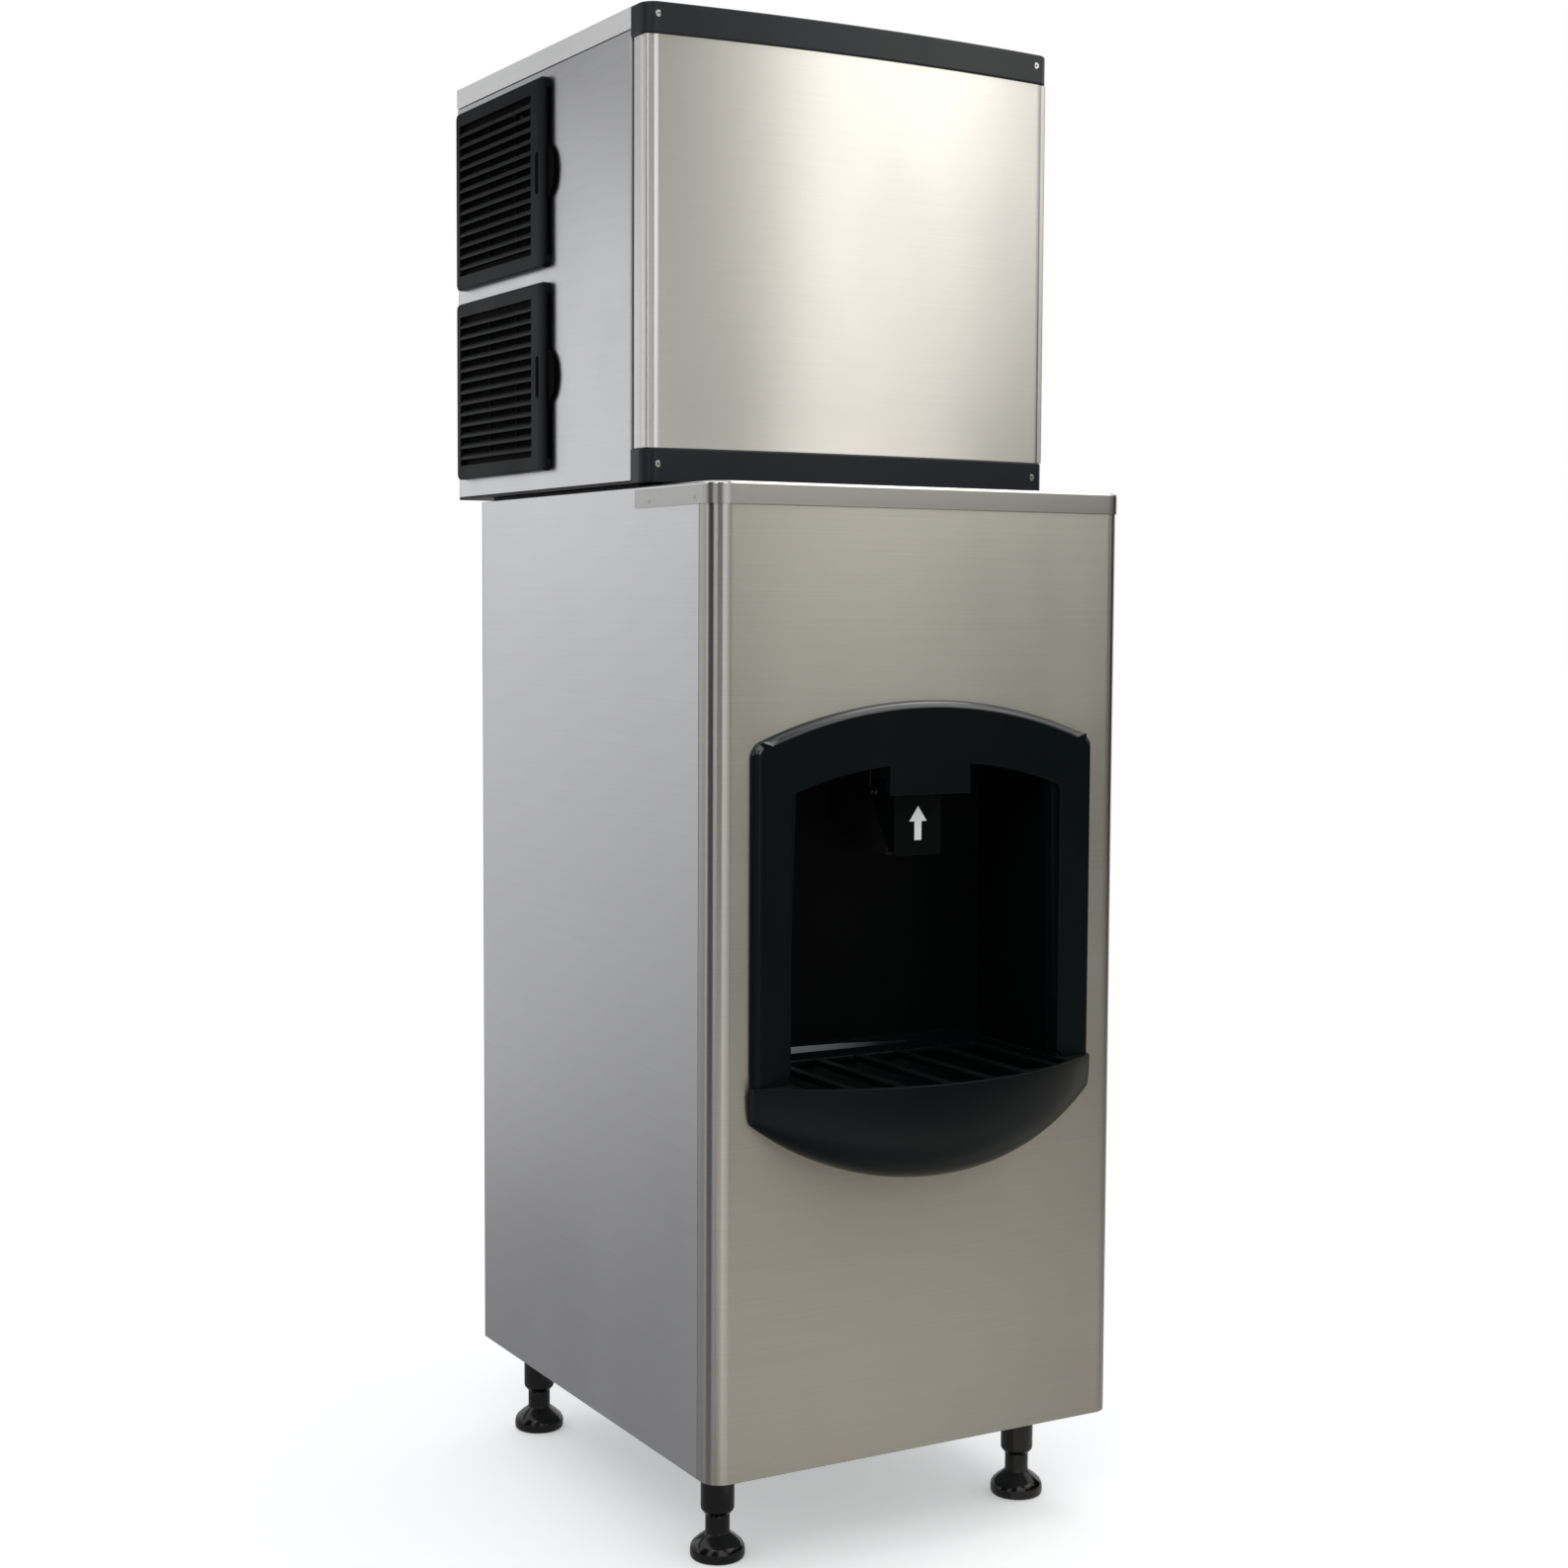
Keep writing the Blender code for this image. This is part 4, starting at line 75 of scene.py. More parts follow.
# Alcove
LIP = 0.577
LINER_TOP = 0.945
BEZEL_HALF = 0.232
BEZEL_PROUD = 0.010
BEZEL_SHOULDER = 0.960
BEZEL_CROWN = 1.008
OPENING_HALF = 0.184
OPENING_SHOULDER = 0.905
OPENING_CROWN = 0.936
TAB_HALF = 0.055
TAB_LOW = 0.899
BOWL_REACH = 0.088
BOWL_DEPTH = 0.122
BOWL_SIDE_DEPTH = 0.043
BOWL_FULLNESS = 2.5
LINER_DEPTH = 0.168
LINER_HALF = 0.188
LINER_LOW = 0.500
PIVOT_HEIGHT = 0.900

# Side grilles
GRILLE_FRONT = 0.108
GRILLE_REAR = 0.392
GRILLE_HALF = 0.116
GRILLE_PROUD = 0.010
GRILLE_FACE = 0.0045
GRILLE_CENTRES = {"upper": 1.648, "lower": 1.398}
LOUVRE_FRONT = 0.146
LOUVRE_REAR = 0.379
LOUVRE_HALF = 0.101
LOUVRES = 14
FILTER_HALF = 0.1015
FILTER_FRONT = 0.110
FILTER_REAR = 0.385

FULL_TURN = 2 * math.pi
QUARTER = math.pi / 2
FLOAT = "NodeSocketFloat"
VECTOR = "NodeSocketVector"
BODY_OF = {node: body for body, nodes in frame["record"]["behaviour"]["bodies"].items() for node in nodes}


# Shader helpers

def shader_group(name, inputs, outputs):
    """An empty node group with named inputs and outputs."""
    group = bpy.data.node_groups.new(name, "ShaderNodeTree")
    for label, kind, value in inputs:
        socket = group.interface.new_socket(name=label, in_out="INPUT", socket_type=kind)
        socket.default_value = value
    for label, kind in outputs:
        group.interface.new_socket(name=label, in_out="OUTPUT", socket_type=kind)
    return group, group.nodes.new("NodeGroupInput"), group.nodes.new("NodeGroupOutput")


def put(tree, socket, source):
    """Gives a socket a link from another socket, or a value."""
    if isinstance(source, bpy.types.NodeSocket):
        tree.links.new(source, socket)
    else:
        socket.default_value = source


def add_node(tree, kind, links=(), **settings):
    """A node with its settings, its values and the sockets that feed it."""
    node = tree.nodes.new(kind)
    for key, value in settings.items():
        setattr(node, key, value)
    for label, source in links:
        put(tree, node.inputs[label], source)
    return node


def feed(tree, node, **sources):
    """Feeds the input of each name, in which a low line stands for a space."""
    for label, source in sources.items():
        put(tree, node.inputs[label.replace("_", " ")], source)


def object_place(tree):
    return add_node(tree, "ShaderNodeTexCoord").outputs["Object"]


def maths(tree, operation, *values):
    return add_node(tree, "ShaderNodeMath", enumerate(values), operation=operation).outputs[0]


def vector_maths(tree, operation, *values):
    return add_node(tree, "ShaderNodeVectorMath", enumerate(values), operation=operation).outputs[0]


def axis_of(tree, vector, index):
    return add_node(tree, "ShaderNodeSeparateXYZ", [(0, vector)]).outputs[index]


def noise(tree, place, scale, detail, **more):
    links = [("Vector", place), ("Scale", scale), ("Detail", detail), *more.items()]
    return add_node(tree, "ShaderNodeTexNoise", links).outputs[0]


def bump(tree, height, strength, distance):
    links = [("Height", height), ("Strength", strength), ("Distance", distance)]
    return add_node(tree, "ShaderNodeBump", links).outputs[0]


def ranged(tree, value, low, high, start=0.0, end=1.0, **settings):
    """A value that runs from low to high while its source runs from start to end."""
    links = [("Value", value), ("From Min", start), ("From Max", end), ("To Min", low), ("To Max", high)]
    return add_node(tree, "ShaderNodeMapRange", links, **settings).outputs[0]


def blend_colour(tree, factor, dark, light):
    """A mix of two colours, each of them three numbers or a socket."""
    pair = [colour if isinstance(colour, bpy.types.NodeSocket) else (*colour, 1) for colour in (dark, light)]
    links = [(0, factor), (6, pair[0]), (7, pair[1])]
    return add_node(tree, "ShaderNodeMix", links, data_type="RGBA").outputs[2]


def brushing_group():
    """Fine straight lines along one direction, with slow clouds of sheen under them."""
    group, start, end = shader_group("brushing", [("Stretch", VECTOR, (6, 6, 900)), ("Strength", FLOAT, 0.1)],
                                     [("Lines", FLOAT), ("Clouds", FLOAT), ("Normal", VECTOR)])
    place = object_place(group)
    stretched = vector_maths(group, "MULTIPLY", place, start.outputs["Stretch"])
    lines = noise(group, stretched, 1.0, 4.0, Roughness=0.65)
    feed(group, end, Lines=lines, Clouds=noise(group, place, 3.2, 3.0),
         Normal=bump(group, lines, start.outputs["Strength"], 0.0002))
    return group


def handling_group():
    """Soft smears left by hands and cloths, as a mask."""
    group, start, end = shader_group("handling_marks", [("Scale", FLOAT, 9.0), ("Spread", FLOAT, 0.5)],
                                     [("Mask", FLOAT)])
    leaning = add_node(group, "ShaderNodeMapping", [
        ("Vector", object_place(group)), ("Rotation", (0.4, 0.3, 0.7)), ("Scale", (1.0, 1.0, 0.45))])
    smear = noise(group, leaning.outputs[0], start.outputs["Scale"], 2.0, Distortion=0.2)
    spread = start.outputs["Spread"]
    feed(group, end, Mask=ranged(group, smear, 0.0, 1.0, spread, maths(group, "ADD", spread, 0.35),
                                 interpolation_type="SMOOTHSTEP"))
    return group


def moulding_group():
    """The fine grain that a mould leaves on plastic, with a little settled dust."""
    group, start, end = shader_group("mould_grain", [("Scale", FLOAT, 900.0), ("Depth", FLOAT, 0.2)],
                                     [("Grain", FLOAT), ("Dust", FLOAT), ("Normal", VECTOR)])
    place = object_place(group)
    grain = noise(group, place, start.outputs["Scale"], 2.0)
    shape = add_node(group, "ShaderNodeNewGeometry")
    upward = ranged(group, axis_of(group, shape.outputs["Normal"], 2), 0.0, 1.0, 0.5, 1.0)
    feed(group, end, Grain=grain, Dust=maths(group, "MULTIPLY", upward, noise(group, place, 40.0, 4.0)),
         Normal=bump(group, grain, start.outputs["Depth"], 0.0002))
    return group


def spangle_group():
    """The crystal pattern of dipped zinc."""
    group, start, end = shader_group("zinc_spangle", [("Scale", FLOAT, 90.0)],
                                     [("Flake", FLOAT), ("Streak", FLOAT)])
    place = object_place(group)
    bent = add_node(group, "ShaderNodeTexNoise", [("Vector", place), ("Scale", 30.0)])
    moved = vector_maths(group, "MULTIPLY", bent.outputs["Color"], (0.02, 0.02, 0.02))
    flakes = add_node(group, "ShaderNodeTexVoronoi", [("Vector", vector_maths(group, "ADD", place, moved)),
                                                      ("Scale", start.outputs["Scale"])])
    split = add_node(group, "ShaderNodeSeparateColor", [(0, flakes.outputs["Color"])])
    feed(group, end, Flake=split.outputs[0], Streak=noise(group, place, 7.0, 3.0))
    return group


BRUSHING = brushing_group()
HANDLING = handling_group()
MOULDING = moulding_group()
SPANGLE = spangle_group()


def new_material(name, metallic=0.0):
    material = bpy.data.materials.new(name)
    material.use_nodes = True
    tree = material.node_tree
    shader = tree.nodes["Principled BSDF"]
    feed(tree, shader, Metallic=metallic)
    return material, tree, shader


def place_group(tree, group, **values):
    node = add_node(tree, "ShaderNodeGroup", node_tree=group)
    feed(tree, node, **values)
    return node.outputs


def smeared(tree, scale, amount, base):
    """A roughness that rises where hands and cloths have left marks."""
    marks = place_group(tree, HANDLING, Scale=scale, Spread=0.42)
    return maths(tree, "MULTIPLY_ADD", marks["Mask"], amount, base)


def brushed_steel(name, dark, light, roughness=(0.28, 0.34), lean=0.75, stretch=(5, 5, 1100)):
    """Stainless sheet with a straight brushed finish. A lean stretches reflections across the brushing."""
    material, tree, shader = new_material(name, 1.0)
    brushing = place_group(tree, BRUSHING, Stretch=stretch, Strength=0.06)
    base = ranged(tree, brushing["Clouds"], *roughness, 0.3, 0.7)
    feed(tree, shader, Base_Color=blend_colour(tree, brushing["Lines"], dark, light),
         Roughness=smeared(tree, 7.0, 0.05, base), Normal=brushing["Normal"], Anisotropic=lean,
         Anisotropic_Rotation=0.25)
    return material


def zinc_sheet(name):
    material, tree, shader = new_material(name, 1.0)
    spangle = place_group(tree, SPANGLE, Scale=85.0)
    flake = spangle["Flake"]
    feed(tree, shader, Base_Color=blend_colour(tree, flake, (0.36, 0.38, 0.39), (0.52, 0.54, 0.55)),
         Roughness=ranged(tree, flake, 0.38, 0.54), Normal=bump(tree, spangle["Streak"], 0.15, 0.0006))
    return material


def moulded_plastic(name, colour, roughness, scale, depth, dust, level=0.5, tint=(1, 1, 1)):
    """Moulded plastic with a fine skin, a light film of dust on its flat tops and faint handling marks."""
    material, tree, shader = new_material(name)
    skin = place_group(tree, MOULDING, Scale=scale, Depth=depth)
    paler = tuple(min(1.0, value * 1.18 + 0.002) for value in colour)
    shade = blend_colour(tree, skin["Grain"], colour, paler)
    film = maths(tree, "MULTIPLY", skin["Dust"], dust)
    feed(tree, shader, Base_Color=blend_colour(tree, film, shade, (0.42, 0.41, 0.39)),
         Roughness=smeared(tree, 14.0, 0.07, roughness), Normal=skin["Normal"], Specular_IOR_Level=level,
         Specular_Tint=(*tint, 1))
    return material


def lit_then_shaded_strip(name):
    """A grey moulded rim strip with painted light: pale at its left end where light falls, fading into
    painted shade towards the right.
    """
    material, tree, shader = new_material(name)
    painted_shade_share = ranged(tree, axis_of(tree, object_place(tree), 0), 0.0, 1.0, -0.140, 0.040)
    feed(tree, shader, Base_Color=blend_colour(tree, painted_shade_share, (0.46, 0.465, 0.475), (0.012, 0.013, 0.015)),
         Roughness=ranged(tree, painted_shade_share, 0.40, 0.30), Specular_IOR_Level=0.2)
    return material


def foam_rubber(name):
    material, tree, shader = new_material(name)
    foam = add_node(tree, "ShaderNodeTexVoronoi", [("Vector", object_place(tree)), ("Scale", 700.0)])
    cells = foam.outputs[0]
    feed(tree, shader, Base_Color=blend_colour(tree, cells, (0.012, 0.012, 0.012), (0.04, 0.04, 0.04)),
         Roughness=ranged(tree, cells, 0.8, 0.95), Normal=bump(tree, cells, 0.6, 0.0008))
    return material


def plain_metal(name, dark, light, roughness, metallic=1.0):
    """Turned, drawn or enamelled metal with a slight unevenness."""
    material, tree, shader = new_material(name, metallic)
    grain = noise(tree, object_place(tree), 160.0, 4.0)
    feed(tree, shader, Base_Color=blend_colour(tree, grain, dark, light),
         Roughness=smeared(tree, 30.0, 0.08, roughness), Normal=bump(tree, grain, 0.08, 0.0003))
    return material


FLAT_BRUSHING = (5, 1100, 1100)
# A darker copy of the stainless steel for the cabinet front: painted shade
shaded_front_steel = brushed_steel("brushed_front_steel_painted_shade", (0.385, 0.378, 0.352), (0.48, 0.472, 0.446), (0.28, 0.31),
                            0.96)
# A paler copy of the stainless steel for the head's bowed front: painted light
lit_head_steel = brushed_steel("brushed_head_steel_painted_light", (0.63, 0.62, 0.60), (0.73, 0.72, 0.70), (0.28, 0.31), 0.96)
steel_side = brushed_steel("brushed_steel_side", (0.52, 0.52, 0.53), (0.62, 0.62, 0.63))
# A paler, glossier copy of the steel for the ledge cover's rolled edge: a painted highlight
highlight_steel = brushed_steel("brushed_steel_painted_highlight", (0.66, 0.66, 0.66), (0.76, 0.76, 0.76), (0.14, 0.18))
# A paler, rougher copy of the steel for the head cover's flanges: painted light
lit_flange_steel = brushed_steel("satin_flange_steel_painted_light", (0.76, 0.76, 0.76), (0.86, 0.86, 0.86), (0.46, 0.52), 0.0)
steel_top = brushed_steel("brushed_steel_top", (0.56, 0.56, 0.56), (0.66, 0.66, 0.66), lean=0.0,
                          stretch=FLAT_BRUSHING)
# A darker copy of the steel for the ledge cover: painted shade
shaded_cover_steel = brushed_steel("brushed_cover_steel_painted_shade", (0.35, 0.345, 0.335), (0.44, 0.435, 0.425), lean=0.0,
                            stretch=FLAT_BRUSHING)
zinc = zinc_sheet("zinc_coated_sheet")
bezel_black = moulded_plastic("alcove_black", (0.0014, 0.0034, 0.0038), 0.285, 1400.0, 0.06, 0.03, 0.10)
# A paler, glossier copy of the black for the outer chamfer's upward faces: a painted highlight
rim_highlight_black = moulded_plastic("alcove_rim_painted_highlight", (0.012, 0.014, 0.018), 0.19, 1400.0, 0.04, 0.0, 0.85)
bowl_black = moulded_plastic("bowl_black", (0.0016, 0.0030, 0.0034), 0.285, 1400.0, 0.05, 0.03, 0.11,
                             tint=(0.78, 0.94, 1.0))
# Near black for the alcove liner and lever: their own black plastic, darkened further as painted shade of the
# recess
black_liner_painted_shade = moulded_plastic("black_liner_painted_shade", (0.0006, 0.0014, 0.0012), 0.40, 700.0, 0.10, 0.02, 0.06)
grille_black = moulded_plastic("grille_black", (0.0036, 0.0042, 0.0052), 0.36, 1000.0, 0.15, 0.06, 0.04)
filter_black = moulded_plastic("filter_black", (0.0008, 0.0008, 0.0010), 0.55, 900.0, 0.2, 0.01, 0.01)
trim_charcoal = moulded_plastic("trim_charcoal", (0.0085, 0.0105, 0.0150), 0.34, 1100.0, 0.10, 0.04, 0.20)
# A glossier copy of the trim plastic for the top trim, with a darker base colour that paints shade on it
shaded_glossy_trim = moulded_plastic("top_trim_charcoal_painted_shade", (0.0065, 0.0085, 0.0125), 0.34, 1100.0, 0.10, 0.04, 0.32)
foot_black = moulded_plastic("foot_black", (0.0016, 0.0016, 0.0018), 0.14, 800.0, 0.03, 0.03, 0.45)
part_black = moulded_plastic("inner_black", (0.006, 0.006, 0.0065), 0.50, 800.0, 0.3, 0.12, 0.2)
food_white = moulded_plastic("food_white", (0.72, 0.74, 0.73), 0.38, 500.0, 0.10, 0.02)
motor_grey = moulded_plastic("motor_grey", (0.20, 0.21, 0.22), 0.42, 600.0, 0.2, 0.10)
seal_rubber = foam_rubber("foam_rubber")
bright_steel = plain_metal("bright_steel", (0.62, 0.62, 0.63), (0.76, 0.76, 0.77), 0.19)
screw_steel = plain_metal("screw_steel", (0.34, 0.34, 0.345), (0.46, 0.46, 0.465), 0.19)
# A dark copy of the steel for the lever's spring and pin: painted shade of the alcove
shaded_spring_steel = plain_metal("shaded_spring_steel", (0.06, 0.06, 0.062), (0.10, 0.10, 0.102), 0.42)
# Near-black fins: partly a black coating, partly painted shade inside the housing behind the grilles
black_fins_painted_shade = plain_metal("black_fins_painted_shade", (0.022, 0.023, 0.024), (0.036, 0.037, 0.038), 0.50)
fitting_brass = plain_metal("fitting_brass", (0.52, 0.36, 0.13), (0.68, 0.50, 0.22), 0.30)
enamel_black = plain_metal("enamel_black", (0.014, 0.014, 0.015), (0.022, 0.022, 0.023), 0.28, metallic=0.0)
mark_white = moulded_plastic("mark_white", (0.62, 0.62, 0.61), 0.50, 600.0, 0.1, 0.0)
# Painted light on the alcove's rear rim: pale at the left end, fading into painted shade to the right
strip_painted_light = lit_then_shaded_strip("strip_painted_light")


# Mesh helpers

def mesh_of(name, bm):
    """A mesh made from a bmesh, which is freed."""
    mesh = bpy.data.meshes.new(name)
    bm.to_mesh(mesh)
    bm.free()
    return mesh


def placed(name, data):
    """A new object in the scene."""
    item = bpy.data.objects.new(name, data)
    bpy.context.scene.collection.objects.link(item)
    return item


def tidy(bm, angle=0.4):
    """Merges loose triangles and clears the edges inside flat faces."""
    bmesh.ops.remove_doubles(bm, verts=bm.verts[:], dist=HAIR)
    bmesh.ops.dissolve_limit(bm, angle_limit=math.radians(angle), use_dissolve_boundaries=False,
                             verts=bm.verts[:], edges=bm.edges[:])
    return bm


def slab(outline, axis, low, high):
    """A flat outline pushed out along an axis."""
    bm = bmesh.new()
    lifted = {"X": lambda a, b, c: (c, a, b), "Y": lambda a, b, c: (a, c, b),
              "Z": lambda a, b, c: (a, b, c)}[axis]
    face = bm.faces.new([bm.verts.new(lifted(a, b, low)) for a, b in outline])
    raised = bmesh.ops.extrude_face_region(bm, geom=[face], use_keep_orig=True)
    moved = [item for item in raised["geom"] if isinstance(item, bmesh.types.BMVert)]
    bmesh.ops.translate(bm, vec=lifted(0, 0, high - low), verts=moved)
    bmesh.ops.recalc_face_normals(bm, faces=bm.faces[:])
    return bm


def box(low, high):
    bm = bmesh.new()
    bmesh.ops.create_cube(bm, size=1)
    bmesh.ops.scale(bm, vec=Vector(high) - Vector(low), verts=bm.verts[:])
    bmesh.ops.translate(bm, vec=(Vector(high) + Vector(low)) / 2, verts=bm.verts[:])
    return bm


def rotate(bm, angle, axis):
    bmesh.ops.rotate(bm, matrix=Matrix.Rotation(angle, 3, axis), verts=bm.verts[:])


def turned(profile, centre, axis="Z", steps=48):
    """A profile of (radius, height) points spun about Z or Y."""
    bm = bmesh.new()
    points = [bm.verts.new((radius, 0, height)) for radius, height in profile]
    lines = [bm.edges.new(pair) for pair in zip(points, points[1:])]
    bmesh.ops.spin(bm, geom=points + lines, cent=(0, 0, 0), axis=(0, 0, 1), angle=FULL_TURN, steps=steps,
                   use_merge=True, use_duplicate=False)
    bmesh.ops.remove_doubles(bm, verts=bm.verts[:], dist=0.000001)
    if axis == "Y":
        rotate(bm, -QUARTER, "X")
    bmesh.ops.translate(bm, vec=centre, verts=bm.verts[:])
    bmesh.ops.recalc_face_normals(bm, faces=bm.faces[:])
    return bm


def round_edges(bm, edges, width, segments=3, clamp=True):
    bmesh.ops.bevel(bm, geom=edges, offset=width, segments=segments, profile=0.5, affect="EDGES", material=-1,
                    clamp_overlap=clamp)
    return bm


def end_of(edge):
    return edge.verts[0].co


def edges_where(bm, test):
    return [edge for edge in bm.edges if all(test(vert.co) for vert in edge.verts)]


def run_of(edge):
    """How far an edge runs along each axis."""
    return Vector([abs(value) for value in edge.verts[0].co - edge.verts[1].co])


def is_sharp(edge, least=1.2):
    """True where two faces meet at more than an angle."""
    return len(edge.link_faces) == 2 and edge.calc_face_angle(0) > least


def is_upright(edge, least=0.001):
    return run_of(edge).z > least


def runs_back(edge):
    """True for an edge that runs from the front to the rear."""
    return run_of(edge).normalized().y ** 2 > 0.9


def gathered(parts):
    """Several meshes as one."""
    whole = bmesh.new()
    for part in parts:
        carrier = mesh_of("carrier", part)
        whole.from_mesh(carrier)
        bpy.data.meshes.remove(carrier)
    return whole


def carved(bm, cutters, joined=()):
    """The solid after exact joins and then exact cuts. The helper objects are cleared away."""
    helpers = []
    for number, part in enumerate([bm, *joined, *cutters]):
        label = f"carving_{number}"
        helpers.append(placed(label, mesh_of(label, part)))
    for number, helper in enumerate(helpers[1:]):
        modifier = helpers[0].modifiers.new("shaping", "BOOLEAN")
        modifier.operation = "UNION" if number < len(joined) else "DIFFERENCE"
        modifier.solver = "EXACT"
        modifier.object = helper
    bpy.context.view_layer.update()
    solved = helpers[0].evaluated_get(bpy.context.evaluated_depsgraph_get())
    result = bmesh.new()
    result.from_mesh(solved.to_mesh())
    solved.to_mesh_clear()
    for helper in helpers:
        mesh = helper.data
        bpy.data.objects.remove(helper)
        bpy.data.meshes.remove(mesh)
    return tidy(result, 0.05)


def add_piece(name, bm, material, body="cabinet", replaces=None, slot=None, bevel=0.0, segments=2, sharp=38,
              recalc=True):
    """A finished piece with its finish, riding on its body."""
    if recalc:
        bmesh.ops.recalc_face_normals(bm, faces=bm.faces[:])
    mesh = mesh_of(name, bm)
    mesh.materials.append(material)
    mesh.shade_smooth()
    mesh.set_sharp_from_angle(angle=math.radians(sharp))
    piece = placed(name, mesh)
    if bevel:
        rounding = piece.modifiers.new("rounding", "BEVEL")
        rounding.width = bevel
        rounding.segments = segments
        rounding.limit_method = "ANGLE"
        rounding.angle_limit = math.radians(sharp)
        rounding.use_clamp_overlap = True
    shading = piece.modifiers.new("shading", "WEIGHTED_NORMAL")
    shading.keep_sharp = True
    if replaces:
        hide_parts(replaces)
        body = BODY_OF[replaces]
    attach(piece, body)
    return piece


def finish_faces(piece, material, test):
    """Gives a second finish to the faces that pass a test."""
    piece.data.materials.append(material)
    for polygon in piece.data.polygons:
        if test(polygon):
            polygon.material_index = 1


def middle_of(corners):
    """The middle of a box that is given by its two corners."""
    return [(low + high) / 2 for low, high in zip(*corners)]


def node_copy(node):
    bm = bmesh.new()
    bm.from_mesh(frame["nodes"][node].data)
    return tidy(bm)


def finish_node(node, bm, material, **more):
    """The finished piece that takes a node's place."""
    return add_piece(f"{node}_finished", bm, material, replaces=node, **more)


def dress(node, material, bevel, segments=2):
    """A node's own form with softened edges in place of the plain solid."""
    finish_node(node, node_copy(node), material, bevel=bevel, segments=segments, recalc=False)


def paint(node, material):
    """A node keeps its own mesh and gets a better finish."""
    mesh = frame["nodes"][node].data
    for index in range(len(mesh.materials)):
        mesh.materials[index] = material
    if not mesh.materials:
        mesh.materials.append(material)


# Cabinet

def make_cabinet():
    panel = node_copy("cabinet_front_panel")
    # The foot of the cut-out moves up behind the shallower tray of the basin
    for vert in panel.verts:
        if abs(vert.co.x) < 0.20 and 0.45 < vert.co.z < 0.510:
            vert.co.z += 0.016
    # The front panel takes the darker copy of the steel, which paints shade on it
    finish_node("cabinet_front_panel", panel, shaded_front_steel, bevel=0.0005, recalc=False)
    dress("cabinet_left_panel", steel_side, 0.0003)
    dress("cabinet_right_panel", steel_side, 0.0003)
    make_ledge_cover()
    dress("cabinet_back_panel", zinc, 0.0002)
    dress("cabinet_base_pan", zinc, 0.0003)
    dress("top_deck", zinc, 0.0003)
    dress("head_seal", seal_rubber, 0.0006)


def make_ledge_cover():
    """The ledge's cover in a darker copy of the steel as painted shade, with the rolled front and side edge
    in a paler copy as a painted highlight.
    """
    cover = node_copy("top_ledge_cover")
    roll = 0.0034
    top = edges_where(cover, lambda point: point.z > CABINET_TOP - 2 * HAIR)
    outer = [edge for edge in top if is_sharp(edge) and min(face.normal.y for face in edge.link_faces) < NEAR
             and max(face.normal.y for face in edge.link_faces) < 0.5]
    round_edges(cover, outer, roll, 4)
    # The cover takes the darker copy of the steel, which paints shade on it
    piece = finish_node("top_ledge_cover", cover, shaded_cover_steel, recalc=False)
    # The upward faces of the rolled edge take the paler copy of the steel, a painted highlight
    finish_faces(piece, highlight_steel, lambda polygon: 0.15 < polygon.normal.z < 0.97
                 and polygon.center.z > CABINET_TOP - 0.004)


def make_legs():
    """Levelling feet with a bell-shaped disc and a threaded stud inside a glossy sleeve."""
    for corner in ("front_left", "front_right", "rear_left", "rear_right"):
        x, y, _ = middle_of(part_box(f"leg_sleeve_{corner}"))
        sleeve = [
            (0.0093, 0.0520), (0.0140, 0.0520), (0.0150, 0.0526), (0.0190, 0.0572), (0.0198, 0.0590),
            (0.0200, 0.0612), (0.0200, 0.1130), (0.0197, 0.1136), (0.0197, 0.1150), (0.0200, 0.1156),
            (0.0200, 0.1262), (0.0195, 0.1267), (0.0093, 0.1267), (0.0093, 0.0520),
        ]
        finish_node(f"leg_sleeve_{corner}", turned(sleeve, (x, y, 0)), foot_black, sharp=30)
        foot = [
            (0, 0), (0.0285, 0), (0.0308, 0.0006), (0.0320, 0.0022), (0.0325, 0.0045), (0.0325, 0.0100),
            (0.0319, 0.0135), (0.0300, 0.0172), (0.0272, 0.0200), (0.0236, 0.0232), (0.0196, 0.0262),
            (0.0166, 0.0284), (0.0150, 0.0300), (0.0145, 0.0322), (0.0145, 0.0505), (0.0140, 0.0515),
            (0.0086, 0.0517),
        ]
        height = 0.0524
        thread_top = 0.1090
        thread_pitch = 0.0016
        while height < thread_top:
            foot += [(0.0090, height), (0.0082, height + 0.0008)]
            height += thread_pitch
        foot += [(0.0078, 0.1106), (0, 0.1110)]
        finish_node(f"levelling_foot_{corner}", turned(foot, (x, y, 0)), foot_black, sharp=30)


# Alcove

def arch_radius(half, rise):
    return (half ** 2 + rise ** 2) / (2 * rise)


def arch_line(half, shoulder, crown, steps):
    """Points of a shallow arch from the right end to the left end."""
    radius = arch_radius(half, crown - shoulder)
    sweep = math.asin(half / radius)
    angles = [sweep - 2 * sweep * step / steps for step in range(steps + 1)]
    return [(radius * math.sin(angle), crown - radius + radius * math.cos(angle)) for angle in angles]


